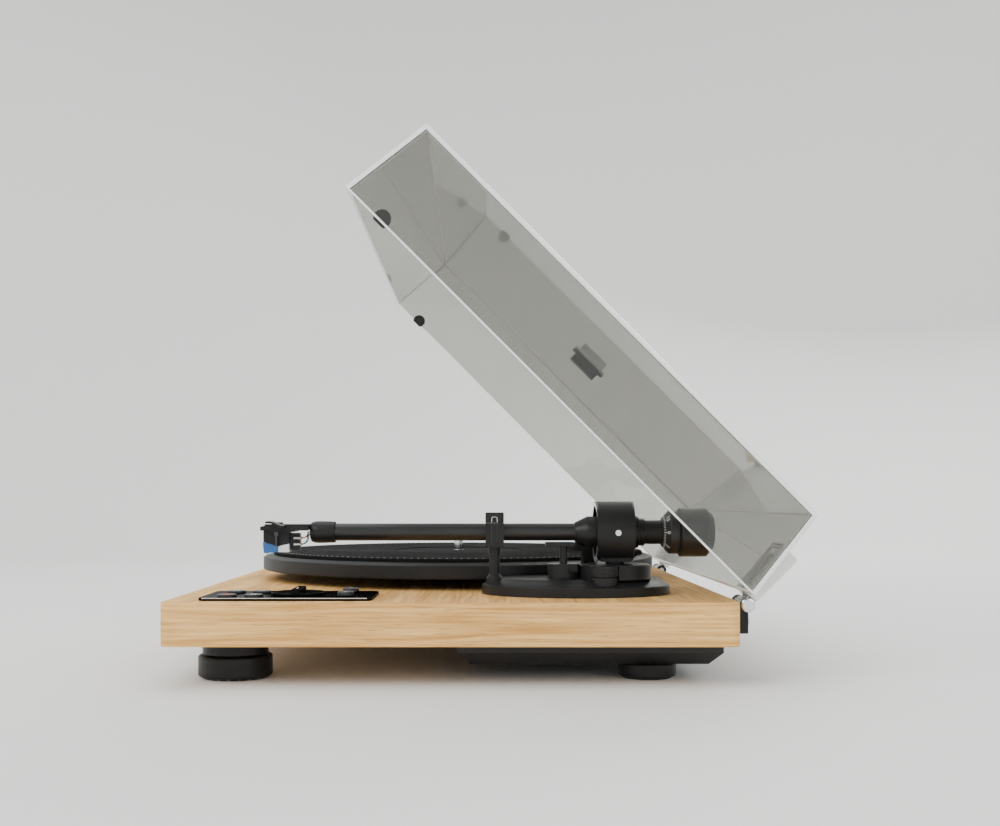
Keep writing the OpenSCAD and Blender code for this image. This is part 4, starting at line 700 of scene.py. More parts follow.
    def cut(self, piece: bpy.types.Object, place: Vector, across: Point, off: bool = False) -> None:
        """Cuts a piece's faces along a plane, and takes off what lies beyond it if asked.

        Args:
            piece: the piece.
            place: a point on the plane, in metres.
            across: the plane's normal.
            off: whether what lies beyond is taken off and the cut closed.
        """
        self.hold(piece)
        bpy.ops.object.mode_set(mode="EDIT")
        bpy.ops.mesh.select_all(action="SELECT")
        bpy.ops.mesh.bisect(
            plane_co=place, plane_no=across, use_fill=off, clear_outer=off, threshold=self.merge_mm * MM
        )
        bpy.ops.mesh.customdata_custom_splitnormals_clear()
        self.close()

    def soften(
        self, piece: bpy.types.Object, edge_mm: float = 0.0, segments: int = 2, edge_slot: int = -1
    ) -> bpy.types.Object:
        """Rounds the sharp edges, if asked in a material slot of their own, and shades the piece smooth.

        Args:
            piece: the piece.
            edge_mm: how far each edge is rounded; none leaves them.
            segments: how many steps the rounding has.
            edge_slot: the edges' material slot, or -1.

        Returns:
            The same piece.
        """
        if edge_mm:
            self.modify(
                piece,
                "BEVEL",
                width=edge_mm * MM,
                segments=segments,
                limit_method="ANGLE",
                angle_limit=self.edge_from,
                use_clamp_overlap=True,
                material=edge_slot,
            )
        self.hold(piece)
        bpy.ops.object.shade_smooth_by_angle(angle=self.smooth_to)
        self.modify(piece, "WEIGHTED_NORMAL", keep_sharp=True)
        return piece

    def finer(
        self, node: str, edge_mm: float, segments: int = 2, edges: Finish | None = None
    ) -> bpy.types.Object:
        """A copy of a CAD node whose loose triangles are merged, and whose edges are then rounded.

        Args:
            node: the CAD node.
            edge_mm: how far each edge is rounded.
            segments: how many steps the rounding has.
            edges: the rounded edges' own finish, or none.

        Returns:
            The copy.
        """
        self.hold(frame["nodes"][node])
        bpy.ops.object.duplicate()
        piece = bpy.context.object
        piece.name = f"{node}_finished"
        bpy.ops.object.parent_clear(type="CLEAR_KEEP_TRANSFORM")
        for key in [k for k in piece.keys() if k.startswith("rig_")]:
            del piece[key]
        bpy.ops.object.mode_set(mode="EDIT")
        bpy.ops.mesh.select_mode(type="VERT")
        bpy.ops.mesh.select_all(action="SELECT")
        bpy.ops.mesh.remove_doubles(threshold=self.merge_mm * MM)
        bpy.ops.mesh.customdata_custom_splitnormals_clear()
        bpy.ops.mesh.mark_sharp(clear=True)
        bpy.ops.mesh.dissolve_limited(angle_limit=self.flat_within)
        bpy.ops.object.mode_set(mode="OBJECT")
        if edges is None:
            return self.soften(piece, edge_mm, segments)
        # The first slot is for the piece's own finish, which fit gives it later
        piece.data.materials.clear()
        piece.data.materials.append(edges.material())
        piece.data.materials.append(edges.material())
        return self.soften(piece, edge_mm, segments, edge_slot=1)

    def copies(self, piece: bpy.types.Object, moves: Sequence[Matrix]) -> bpy.types.Object:
        """Copies a piece to each move, every copy with its own mesh, and joins them under its name.

        Args:
            piece: the piece, which is used up.
            moves: where each copy goes.

        Returns:
            The joined copies.
        """
        name, made = piece.name, []
        for move in moves:
            self.hold(piece)
            bpy.ops.object.duplicate()
            copy = bpy.context.object
            copy.data.transform(move)
            made.append(copy)
        bpy.data.objects.remove(piece)
        joined = self.join(made)
        joined.name = name
        return joined

    def join(self, made: Sequence[bpy.types.Object]) -> bpy.types.Object:
        """Joins pieces into the first.

        Args:
            made: the pieces.

        Returns:
            The first piece, with all of them in it.
        """
        self.hold(made[0])
        for other in made[1:]:
            other.select_set(True)
        if len(made) > 1:
            bpy.ops.object.join()
        return bpy.context.object

    def wire(self, name: str, path: Sequence[Vector], radius_mm: float) -> bpy.types.Object:
        """A round wire along a smooth path, made a mesh with closed ends.

        Args:
            name: the new piece's name.
            path: the points that the wire follows, in metres.
            radius_mm: its radius.

        Returns:
            The new piece.
        """
        bpy.ops.object.select_all(action="DESELECT")
        bpy.ops.curve.primitive_nurbs_path_add(location=(0, 0, 0))
        piece = bpy.context.object
        piece.name = name
        line = piece.data.splines[0]
        if len(path) > len(line.points):
            line.points.add(len(path) - len(line.points))
        for i, point in enumerate(line.points):
            place = path[min(i, len(path) - 1)]
            point.co = (*place, 1.0)
        line.order_u = self.wire_order
        line.use_endpoint_u = True
        piece.data.dimensions = "3D"
        piece.data.bevel_depth = radius_mm * MM
        piece.data.bevel_resolution = self.wire_steps
        piece.data.use_fill_caps = True
        bpy.ops.object.convert(target="MESH")
        bpy.ops.object.mode_set(mode="EDIT")
        bpy.ops.mesh.select_mode(type="VERT")
        self.close()
        bpy.ops.object.shade_smooth_by_angle(angle=self.wire_smooth_to)
        return piece

    def lettering(self, name: str, words: str, height_mm: float, place: Matrix) -> bpy.types.Object:
        """A plain number or sign as a thin raised print, laid on a place.

        Args:
            name: the new piece's name.
            words: what it says.
            height_mm: the letters' height.
            place: where it lies, and which way it faces.

        Returns:
            The new piece.
        """
        bpy.ops.object.select_all(action="DESELECT")
        bpy.ops.object.text_add(location=(0, 0, 0))
        piece = bpy.context.object
        piece.name = name
        piece.data.body = words
        piece.data.size = height_mm * MM
        piece.data.extrude = self.letter_mm * MM
        piece.data.align_x = "CENTER"
        piece.data.align_y = "CENTER"
        piece.data.resolution_u = self.letter_steps
        bpy.ops.object.convert(target="MESH")
        piece.data.transform(place)
        bpy.ops.object.mode_set(mode="EDIT")
        bpy.ops.mesh.select_mode(type="VERT")
        self.close()
        return piece


@dataclass
class SubAssembly:
    """Pieces that belong together, and how they are fitted to the frame."""

    bench: Bench
    fitted: list[str] = field(default_factory=list)

    def at(self, x: float, y: float, z: float) -> Vector:
        """A place by millimetres across and back from the plinth's middle, and up from the floor."""
        low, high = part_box("plinth")
        return Vector(((low.x + high.x) / 2 + x * MM, (low.y + high.y) / 2 + y * MM, z * MM))

    def middle(self, node: str) -> Vector:
        """The middle of a CAD node's box."""
        low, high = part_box(node)
        return (low + high) / 2

    def top_of(self, node: str) -> Vector:
        """The middle of the top of a CAD node's box."""
        low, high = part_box(node)
        return Vector(((low.x + high.x) / 2, (low.y + high.y) / 2, high.z))

    def radius_of(self, node: str) -> float:
        """Half of a round CAD node's width, in millimetres."""
        low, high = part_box(node)
        return (high.x - low.x) / 2 / MM

    def fit(self, piece: bpy.types.Object, body: str, finish: Finish, *stands_for: str) -> bpy.types.Object:
        """Gives a piece its finish, its body and the nodes that it stands for.

        Args:
            piece: the piece; one with two materials keeps its second.
            body: the CAD body that carries it.
            finish: its finish.
            stands_for: the CAD nodes that it replaces.

        Returns:
            The same piece.
        """
        if len(piece.data.materials) < 2:
            piece.data.materials.clear()
            piece.data.materials.append(finish.material())
        piece.data.materials[0] = finish.material()
        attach(piece, body)
        if stands_for:
            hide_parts(*stands_for)
        self.fitted.append(piece.name)
        return piece

    def finer(
        self, node: str, edge_mm: float, finish: Finish, segments: int = 2, edges: Finish | None = None
    ) -> bpy.types.Object:
        """Fits a rounded copy of a CAD node in its place."""
        return self.fit(self.bench.finer(node, edge_mm, segments, edges), body_of(node), finish, node)

    def dress(self, finish: Finish, *nodes: str) -> None:
        """Gives CAD nodes a finish and leaves their shape.

        Args:
            finish: the finish.
            nodes: the CAD nodes.
        """
        for node in nodes:
            data = frame["nodes"][node].data
            data.materials.clear()
            data.materials.append(finish.material())
            self.fitted.append(node)

    def ring_of_moves(self, count: int, centre: Vector, axis: Axis) -> list[Matrix]:
        """Even turns about an axis.

        Args:
            count: how many turns.
            centre: a point on the axis.
            axis: the axis.

        Returns:
            A move for each turn.
        """
        home = Matrix.Translation(centre)
        return [
            home @ Matrix.Rotation(FULL_TURN * i / count, 4, Vector(axis.value)) @ home.inverted()
            for i in range(count)
        ]

    def build(self) -> None:
        """Makes and fits the pieces."""
        raise NotImplementedError

    def report(self) -> None:
        """Logs every piece of the sub-assembly."""
        for name in self.fitted:
            LOG.info("%s: %s", type(self).__name__, name)


def body_of(node: str) -> str:
    """The CAD body that a node belongs to."""
    return next(body for body, nodes in frame["record"]["behaviour"]["bodies"].items() if node in nodes)


@dataclass
class Plinth(SubAssembly):
    """The oak plinth on its four feet, with the box under it."""

    plinth_edge: float = 0.7
    box_edge: float = 0.8
    foot_edge: float = 0.5
    stud_count: int = 20
    stud_inset: float = 2.6
    stud_sides: int = 10
    stud_profile: Profile = ((0, -0.9), (0.56, -0.75), (0.8, -0.3), (0.8, 0.2), (0, 0.2))

    def build(self) -> None:
        """Rounds the edges, and sets the studs under the front feet."""
        self.finer("plinth", self.plinth_edge, OAK, segments=3)
        self.finer("underside_box", self.box_edge, BOX_ABS)
        self.dress(ZINC, "underside_screws", "wood_screws")
        for node in ("front_foot_pucks", "rear_foot_pucks", "front_foot_necks"):
            self.finer(node, self.foot_edge, FOOT_ABS)
        self.dress(RUBBER, "foot_pads")
        for side in (-1, 1):
            self.studs(f"foot_studs_{'left' if side < 0 else 'right'}", side)

    def studs(self, name: str, side: int) -> None:
        """A ring of small pale studs on the underside of a front puck.

        Args:
            name: the new piece's name.
            side: -1 for the left foot, 1 for the right one.
        """
        low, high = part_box("front_foot_pucks")
        radius = (high.y - low.y) / 2
        middle = (low.x + radius) if side < 0 else (high.x - radius)
        centre = Vector((middle, (low.y + high.y) / 2, low.z))
        start = centre + Vector((radius - self.stud_inset * MM, 0, 0))
        stud = self.bench.lathe(name, self.stud_profile, start, Axis.Z, self.stud_sides)
        ring = self.bench.copies(stud, self.ring_of_moves(self.stud_count, centre, Axis.Z))
        self.fit(self.bench.soften(ring), "base", MAT_DOT)


@dataclass
class RearSockets(SubAssembly):
    """The plate behind, with its sockets."""

    plate_edge: float = 0.3
    jack_edge: float = 0.15
    socket_edge: float = 0.4
    terminal_edge: float = 0.3
    left_x: float = -100.0
    right_x: float = -82.0
    jack_z: float = 35.7
    insulator_edge: float = 0.15
    insulator_steps: int = 48
    insulator_profile: Profile = ((4.5, 0), (6.2, 0), (6.2, 0.9), (5.8, 1.3), (4.5, 1.3), (4.5, 0))

    def build(self) -> None:
        """Dresses the plate, and puts coloured insulators round the two signal sockets."""
        self.finer("jack_plate", self.plate_edge, POWDER_COAT)
        self.finer("phono_jacks", self.jack_edge, GOLD)
        self.finer("power_socket", self.socket_edge, FOOT_ABS)
        self.finer("ground_terminal", self.terminal_edge, CHROME)
        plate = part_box("jack_plate")[1].y
        for name, finish, x in (
            ("left", WHITE_INSULATOR, self.left_x),
            ("right", RED_INSULATOR, self.right_x),
        ):
            centre = self.at(x, 0, self.jack_z)
            centre.y = plate
            profile, steps = self.insulator_profile, self.insulator_steps
            ring = self.bench.lathe(f"insulator_{name}", profile, centre, Axis.Y, steps)
            self.fit(self.bench.soften(ring, self.insulator_edge), "base", finish)


@dataclass
class Drive(SubAssembly):
    """The bearing, motor, belt and boards inside the plinth."""

    def build(self) -> None:
        """Dresses what is inside as it is."""
        self.dress(ALUMINIUM, "bearing_housing", "motor_pulley")
        self.dress(BRONZE, "bearing_bush")
        self.dress(MOTOR_CAN, "motor")
        self.dress(ZINC, "motor_plate", "arm_nut")
        self.dress(RUBBER, "drive_belt")
        self.dress(BOARD, "control_board", "main_board")
        self.dress(FOOT_ABS, "sub_platter")


@dataclass
class Platter(SubAssembly):
    """The platter, its mat with a ring of dots, and the record pin."""

    pin_edge: float = 0.25
    platter_steps: int = 256
    mat_steps: int = 192
    bore_r: float = 12.5
    skirt_w: float = 14.0
    web_up: float = 5.0
    # The rim's foot and its top: how far in from the rim, and how far up or down from there
    rim_foot: Profile = ((1.2, 0), (0.35, 0.35), (0, 1.2))
    rim_top: Profile = ((0, 2.4), (0.5, 1.7), (4.6, 0.15), (5.4, 0))
    mat_bore_r: float = 4.6
    label_r: float = 52.0
    label_sink: float = 0.6
    groove_from: float = 10.0
    groove_to_r: float = 58.0
    groove_pitch: float = 6.0
    groove_depth: float = 0.45
    # How far in from its start each point of a groove lies, and at what share of its depth
    groove: Profile = ((0, 0), (0.5, 1), (1.3, 1), (1.8, 0))
    mat_edge: float = 0.5
    mat_border: float = 8.0
    dot_count: int = 180
    dot_reach: float = 142.5
    dot_sides: int = 8
    dot_profile: Profile = ((0, 0.4), (0.6375, 0.28), (0.85, -0.1), (0, -0.1))

    def build(self) -> None:
        """Turns the platter and the mat, and sets the dots."""
        low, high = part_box("platter")
        axis = (low + high) / 2
        radius = self.radius_of("platter")
        bottom, top = low.z / MM, high.z / MM
        foot = Vector((axis.x, axis.y, 0))
        web, inner = bottom + self.web_up, radius - self.skirt_w
        profile = [
            (self.bore_r, web),
            (inner, web),
            (inner, bottom),
            *((radius - inward, bottom + up) for inward, up in self.rim_foot),
            *((radius - inward, top - down) for inward, down in self.rim_top),
            (self.bore_r, top),
            (self.bore_r, web),
        ]
        platter = self.bench.lathe("platter_turned", profile, foot, Axis.Z, self.platter_steps)
        self.fit(self.bench.soften(platter), "platter_body", PLATTER_PAINT, "platter")
        self.mat(foot)
        self.finer("spindle", self.pin_edge, CHROME)

    def mat(self, foot: Vector) -> None:
        """A rubber sheet with shallow grooves, a sunk middle for the label and dots near its edge.

        Args:
            foot: the point on the platter's axis at the floor.
        """
        low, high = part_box("platter_mat")
        radius = self.radius_of("platter_mat")
        under, top = low.z / MM, high.z / MM
        label, edge = top - self.label_sink, self.mat_edge
        profile = [
            (self.mat_bore_r, under), (radius, under), (radius, top - edge), (radius - edge, top),
            (radius - self.mat_border, top),
        ]  # fmt: skip
        reach = radius - self.groove_from
        while reach > self.groove_to_r:
            profile += [(reach - inward, top - deep * self.groove_depth) for inward, deep in self.groove]
            reach -= self.groove_pitch
        profile += [(self.label_r + self.label_sink, top), (self.label_r, label), (self.mat_bore_r, label)]
        profile.append(profile[0])
        sheet = self.bench.lathe("mat_sheet", profile, foot, Axis.Z, self.mat_steps)
        self.fit(self.bench.soften(sheet), "platter_body", MAT_RUBBER, "platter_mat")
        start = foot + Vector((self.dot_reach * MM, 0, top * MM))
        dot = self.bench.lathe("mat_dots", self.dot_profile, start, Axis.Z, self.dot_sides)
        dots = self.bench.copies(dot, self.ring_of_moves(self.dot_count, foot, Axis.Z))
        self.fit(self.bench.soften(dots), "platter_body", MAT_DOT)


@dataclass
class ControlPanel(SubAssembly):
    """The gloss panel with its rim, buttons, knobs and selector."""

    buttons: tuple[str, ...] = (
        "button_near_front", "button_near_back", "button_far_front", "button_far_back",
    )  # fmt: skip
    knobs: tuple[str, ...] = ("knob_near", "knob_far")
    panel_edge: float = 0.35
    button_edge: float = 0.5
    knob_edge: float = 0.3
    rim_w: float = 0.8
    rim_edge: float = 0.25
    rim_sunk: float = 0.2
    corner_r: float = 4.0
    corner_steps: int = 8
    line_size: tuple[float, float] = (0.5, 0.55)
    line_drop: float = 0.35
    line_edge: float = 0.12
    mark_h: float = 0.12
    mark_edge: float = 0.03
    pointer_from: float = 0.6
    knob_line: tuple[float, float] = (3.2, 0.7)
    selector_line: tuple[float, float] = (7.0, 0.9)
    bar_size: tuple[float, float] = (3.8, 1.0)
    bar_apart: float = 1.1
    spot_steps: int = 32
    spot_profile: Profile = ((0, 0.12), (2.3, 0.096), (2.6, -0.05), (0, -0.05))

    def build(self) -> None:
        """Rounds the panel and the controls, and prints their marks."""
        self.finer("control_panel", self.panel_edge, PIANO_BLACK)
        self.rim()
        for node in self.buttons:
            self.finer(node, self.button_edge, BUTTON_ABS)
        for node in self.knobs:
            self.finer(node, self.knob_edge, BUTTON_ABS)
            self.pointer(f"{node}_pointer", node, self.knob_line)
        self.finer("speed_selector", self.button_edge, PIANO_BLACK)
        self.pointer("selector_pointer", "speed_selector", self.selector_line)
        self.power_mark(self.buttons[0])
        for node in self.buttons[1:]:
            self.bars(node)

    def rim(self) -> None:
        """A gloss frame round the panel, rounded at its corners, with a chrome strip along its near edge
        only, as a painted highlight.
        """
        low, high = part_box("control_panel")
        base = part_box("plinth")[1].z
        size = (high - low) / MM
        height = (high.z - base) / MM - self.rim_sunk
        middle_z = (high.z + base) / 2 - self.rim_sunk / 2 * MM
        centre = Vector(((low.x + high.x) / 2, (low.y + high.y) / 2, middle_z))
        outer = (size.x + 2 * self.rim_w, size.y + 2 * self.rim_w, height)
        bpy.ops.object.select_all(action="DESELECT")
        bpy.ops.mesh.primitive_cube_add(size=1, location=centre, scale=[s * MM for s in outer])
        rim = bpy.context.object
        rim.name = "panel_rim"
        self.bench.settle(rim)
        points = rim.data.vertices

        def upright(edge: Any) -> bool:
            """Whether an edge stands upright."""
            return abs(points[edge.vertices[0]].co.z - points[edge.vertices[1]].co.z) > height / 2 * MM

        self.bench.pick(rim, upright, edges=True)
        bpy.ops.mesh.bevel(offset=(self.corner_r + self.rim_w) * MM, segments=self.corner_steps)
        self.bench.pick(rim, lambda face: abs(face.normal.z) > FACING)
        bpy.ops.mesh.inset(thickness=self.rim_w * MM)
        bpy.ops.mesh.delete(type="FACE")
        bpy.ops.mesh.select_mode(type="EDGE")
        bpy.ops.mesh.select_non_manifold()
        bpy.ops.mesh.bridge_edge_loops()
        self.bench.close()
        self.fit(self.bench.soften(rim, self.rim_edge), "base", PIANO_BLACK)
        # A chrome strip along the near edge alone: a painted highlight where the gloss rim catches the light
        place = Vector((high.x + self.rim_w * MM, centre.y, high.z - self.line_drop * MM))
        width, tall = self.line_size
        line_size = (width, size.y - self.corner_r, tall)
        line = self.bench.block("panel_near_edge_painted_highlight", place, line_size, self.line_edge, segments=2)
        self.fit(self.bench.soften(line), "base", CHROME)

    def mark(self, name: str, node: str, shift: float, size: tuple[float, float]) -> bpy.types.Object:
        """A thin printed bar on a control's top, shifted across by so many millimetres."""
        place = self.top_of(node) + Vector((shift * MM, 0, self.mark_h / 4 * MM))
        return self.bench.block(name, place, (*size, self.mark_h), self.mark_edge, segments=1)

    def pointer(self, name: str, node: str, size: tuple[float, float]) -> None:
        """A white line on a control's top, which says where it points."""
        line = self.mark(name, node, size[0] / 2 + self.pointer_from, size)
        self.fit(self.bench.soften(line), body_of(node), WHITE_INK)

    def power_mark(self, node: str) -> None:
        """A red spot on a button."""
        spot = self.bench.lathe("power_mark", self.spot_profile, self.top_of(node), Axis.Z, self.spot_steps)
        self.fit(self.bench.soften(spot), body_of(node), RED_INK)

    def bars(self, node: str) -> None:
        """Two short white bars on a button.

        Args:
            node: the button's CAD node.
        """
        bar = self.mark(f"{node}_bars", node, 0, self.bar_size)
        moves = [Matrix.Translation((0, side * self.bar_apart * MM, 0)) for side in (-1, 1)]
        self.fit(self.bench.soften(self.bench.copies(bar, moves)), body_of(node), WHITE_INK)


@dataclass
class ArmBase(SubAssembly):
    """The oval base with the tower, the lift, the rest and the anti-skate knob."""

    base_edge: float = 0.8
    tower_edge: float = 0.5
    lift_edge: float = 0.5
    bar_edge: float = 0.4
    lever_edge: float = 0.3
    rest_edge: float = 0.5
    knob_edge: float = 0.4
    knurl_count: int = 36
    knurl_drop: float = 3.8
    knurl_sunk: float = 0.05
    knurl_size: Point = (0.5, 0.7, 5.2)
    knurl_edge: float = 0.15
    bow_front_y: float = 25.4
    bow_rear_y: float = 29.0
    bow_bend: float = 0.5
    bow_z: Point = (98.9, 101.5, 102.3)
    bow_r: float = 0.24
    strip_z: tuple[float, ...] = (98.0, 94.0, 90.0, 86.5, 84.4)
    strip_r: float = 0.2

    def build(self) -> None:
        """Rounds the edges, ribs the knob and adds the bright bow and strips of the rest."""
        self.finer("arm_base", self.base_edge, ANODISED, segments=3)
        self.finer("pivot_tower", self.tower_edge, ANODISED, segments=3)
        for node, edge in (
            ("lift_base", self.lift_edge),
            ("lift_bar", self.bar_edge),
            ("cue_lever", self.lever_edge),
            ("arm_rest", self.rest_edge),
            ("rest_latch", self.rest_edge),
            ("anti_skate_knob", self.knob_edge),
        ):
            self.finer(node, edge, ANODISED)
        self.knurl()
        self.clip()

    def knurl(self) -> None:
        """Upright ribs round the upper part of the anti-skate knob."""
        low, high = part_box("anti_skate_knob")
        radius = (high.x - low.x) / 2
        centre = self.top_of("anti_skate_knob") - Vector((0, 0, self.knurl_drop * MM))
        start = centre + Vector((radius - self.knurl_sunk * MM, 0, 0))
        rib = self.bench.block("skate_knob_ribs", start, self.knurl_size, self.knurl_edge, segments=1)
        ribs = self.bench.copies(rib, self.ring_of_moves(self.knurl_count, centre, Axis.Z))
        self.fit(self.bench.soften(ribs), "anti_skate", ANODISED)

    def on_cheek(self, y: float, z: float) -> Vector:
        """A place on the near face of the arm's rest.

        Args:
            y: millimetres back from the plinth's middle.
            z: millimetres up.

        Returns:
            The place.
        """
        place = self.at(0, y, z)
        place.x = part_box("arm_rest")[1].x
        return place

    def clip(self) -> None:
        """A bright wire bow on the latch, and two dark strips down the rest's cheek."""
        front, rear = self.bow_front_y, self.bow_rear_y
        foot, bend, top = self.bow_z
        path = [
            self.on_cheek(front, foot), self.on_cheek(front, bend), self.on_cheek(front + self.bow_bend, top),
            self.on_cheek(rear - self.bow_bend, top), self.on_cheek(rear, bend), self.on_cheek(rear, foot),
        ]  # fmt: skip
        self.fit(self.bench.wire("latch_bow", path, self.bow_r), "latch", CHROME)
        for name, y in (("front", front), ("rear", rear)):
            path = [self.on_cheek(y, z) for z in self.strip_z]
            self.fit(self.bench.wire(f"rest_strip_{name}", path, self.strip_r), "base", GUNMETAL)


@dataclass
class ToneArm(SubAssembly):
    """The arm from its head to its weight, with the ring that carries it."""

    pivot_y: float = 106.2
    ring_edge: float = 0.6
    sleeve_edge: float = 0.4
    cartridge_edge: float = 0.25
    shell_edge: float = 0.4
    side_gap: float = 0.06
    finger_edge: float = 0.35
    finger_steps: int = 10
    finger_y: tuple[float, float] = (-107.6, -119.0)
    finger_z: tuple[float, float] = (95.6, 98.4)
    finger_t: float = 1.3
    finger_root: float = 1.0
    bend_share: float = 0.8
    # The collar's barrel: how far in from its widest, and how far back from its nose
    collar_nose: Profile = ((1.1, 0), (0.9, 0.2), (0.15, 2.6), (0, 5.0), (0.05, 9.0))
    # The same from its tail: how far in, and how far forward
    collar_tail: Profile = ((0.3, 0.4), (0.5, 0), (0.8, 0))
    # Its bore: the radius, and how far forward from its tail
    collar_bore_rear: Profile = ((6.1, 2.2), (5.75, 3.0))
    # The same from its nose: the radius, and how far back
    collar_bore_front: Profile = ((5.75, 4.3), (6.05, 0))
    tube_wall: float = 1.0
    tube_edge: float = 0.3
    rim_w: float = 2.9
    rim_out: float = 0.15
    rim_in: float = 0.75
    rim_from: float = math.radians(-50)
    rim_sweep: float = math.radians(280)
    rim_chamfer: float = 0.9
    rim_proud: float = 0.08
    turned_edge: float = 0.1
    turned_steps: int = 96
    weight_steps: int = 128
    weight_profile: Profile = (
        (10.15, 40.8), (13.9, 40.8), (14.5, 41.2), (15.9, 42.05), (16.1, 42.4), (16.1, 57.2), (15.8, 57.4),
        (15.8, 57.8), (16.1, 58.0), (16.1, 59.0), (15.85, 59.5), (12.8, 62.3), (12.0, 63.3), (11.2, 63.6),
        (4.0, 63.6), (3.6, 62.8), (0, 62.8), (0, 58.2), (10.15, 58.2), (10.15, 40.8),
    )  # fmt: skip
    cone_foot: tuple[float, float] = (9.15, 30.3)
    cone_top: tuple[float, float] = (14.1, 34.7)
    dial_profile: Profile = (
        (8.25, 30.1), (8.8, 30.1), cone_foot, cone_top, (14.3, 35.1), (14.3, 40.2),
        (14.0, 40.5), (10.15, 40.5), (10.15, 32.1), (8.25, 32.1), (8.25, 30.1),
    )  # fmt: skip
    tick_count: int = 40
    tick_long: float = 2.0
    tick_short: float = 1.3
    tick_size: tuple[float, float] = (0.34, 0.14)
    tick_edge: float = 0.02
    tick_back: float = 30.9
    tick_slope_share: float = 0.7
    numbers: tuple[str, ...] = ("0", ".5", "1", "1.5", "2", "2.5", "3", "3.5")
    number_h: float = 3.6
    number_back: float = 33.4
    stylus_edge: float = 0.2
    guard_back_y: float = -113.45
    guard_bottom_z: float = 78.5
    stem: Point = (145.0, -93.2, 92.3)
    pin_y: float = -99.0
    pin_x: float = 3.5
    pin_z: tuple[float, float] = (88.4, 84.3)
    pins_middle_z: float = 87.5
    lead_r: float = 0.32
    root_shares: tuple[float, float] = (0.45, 0.4)
    bow_share: float = 0.25
    bow_shift: tuple[float, float] = (1.2, -0.8)
    leave: float = 1.4
    arrive: float = 1.6
    clip_reach: float = 4.6
    clip_steps: int = 16
    clip_profile: Profile = ((0.56, 0), (0.85, 0), (0.85, 4.4), (0.6, 4.9), (0.56, 4.9), (0.56, 0))

    def build(self) -> None:
        """Rounds and turns the arm's pieces, and adds rims, ticks, numbers and leads."""
        self.finer("gimbal_ring", self.ring_edge, ANODISED, segments=3)
        self.dress(CHROME, "bearing_screws")
        self.finer("bearing_sleeve", self.sleeve_edge, ANODISED)
        self.tube()
        self.finer("rear_stub", self.sleeve_edge, ANODISED)
        self.head()
        self.finer("cartridge", self.cartridge_edge, NYLON)
        self.dress(GUNMETAL, "cartridge_screws")
        self.dress(ZINC, "weight_sleeve")
        self.collar()
        self.rims()
        self.weight()
        self.dial()
        self.stylus()
        self.leads()

    def axis_at(self, back: float) -> Vector:
        """A place on the arm's axis, that far behind the pivot.

        Args:
            back: millimetres behind the pivot.

        Returns:
            The place.
        """
        place = self.at(0, self.pivot_y + back, 0)
        tube = self.middle("arm_tube")
        return Vector((tube.x, place.y, tube.z))

    def front_of(self, node: str) -> Vector:
        """The middle of the front end of a piece that is turned about the arm's axis."""
        middle = self.middle(node)
        return Vector((middle.x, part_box(node)[0].y, middle.z))

    def head(self) -> None:
        """The headshell, whose straight finger lift gives way to one that is bent upwards."""
        low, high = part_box("headshell")
        side = 2 * self.middle("arm_tube").x - low.x + self.side_gap * MM
        shell = self.bench.finer("headshell", 0)
        self.bench.cut(shell, Vector((side, 0, 0)), Axis.X.value, off=True)
        self.fit(self.bench.soften(shell, self.shell_edge), "arm", ANODISED, "headshell")
        steps = [i / self.finger_steps for i in range(self.finger_steps + 1)]
        back, front = self.finger_y
        under, over = self.finger_z

        def bent(share: float, lift: float) -> Vector:
            """A place on the strip's bend, raised by its thickness or not.

            Args:
                share: how far along the strip, from 0 to 1.
                lift: millimetres above its underside.

            Returns:
                The place.
            """
            rise = (1 - math.cos(math.pi * min(share / self.bend_share, 1.0))) / 2
            place = self.at(0, back + (front - back) * share, under + (over - under) * rise + lift)
            return Vector((side - self.finger_root * MM, place.y, place.z))

        outline = [bent(s, 0) for s in steps] + [bent(s, self.finger_t) for s in reversed(steps)]
        along = Vector((high.x - side + self.finger_root * MM, 0, 0))
        finger = self.bench.slab("finger_lift", outline, along)
        self.fit(self.bench.soften(finger, self.finger_edge), "arm", ANODISED)

    def tube(self) -> None:
        """The arm's tube, turned so that its one long highlight has no break."""
        low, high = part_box("arm_tube")
        radius, length = self.radius_of("arm_tube"), (high.y - low.y) / MM
        bore, edge = radius - self.tube_wall, self.tube_edge
        profile = [
            (bore, 0), (radius - edge, 0), (radius, edge), (radius, length - edge), (radius - edge, length),
            (bore, length), (bore, 0),
        ]  # fmt: skip
        tube = self.bench.lathe("tube_drawn", profile, self.front_of("arm_tube"), Axis.Y, self.turned_steps)
        self.fit(self.bench.soften(tube), "arm", TUBE_BLACK, "arm_tube")

    def collar(self) -> None:
        """The locking collar: a slim barrel with a rounded nose."""
        low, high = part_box("head_collar")
        radius, length = self.radius_of("head_collar"), (high.y - low.y) / MM
        profile = [
            self.collar_bore_front[-1],
            *((radius - inward, back) for inward, back in self.collar_nose),
            *((radius - inward, length - forward) for inward, forward in self.collar_tail),
            *((bore, length - forward) for bore, forward in self.collar_bore_rear),
            *self.collar_bore_front,
        ]
        start = self.front_of("head_collar")
        collar = self.bench.lathe("collar_turned", profile, start, Axis.Y, self.turned_steps)
        self.fit(self.bench.soften(collar, self.turned_edge), "collar", ANODISED, "head_collar")

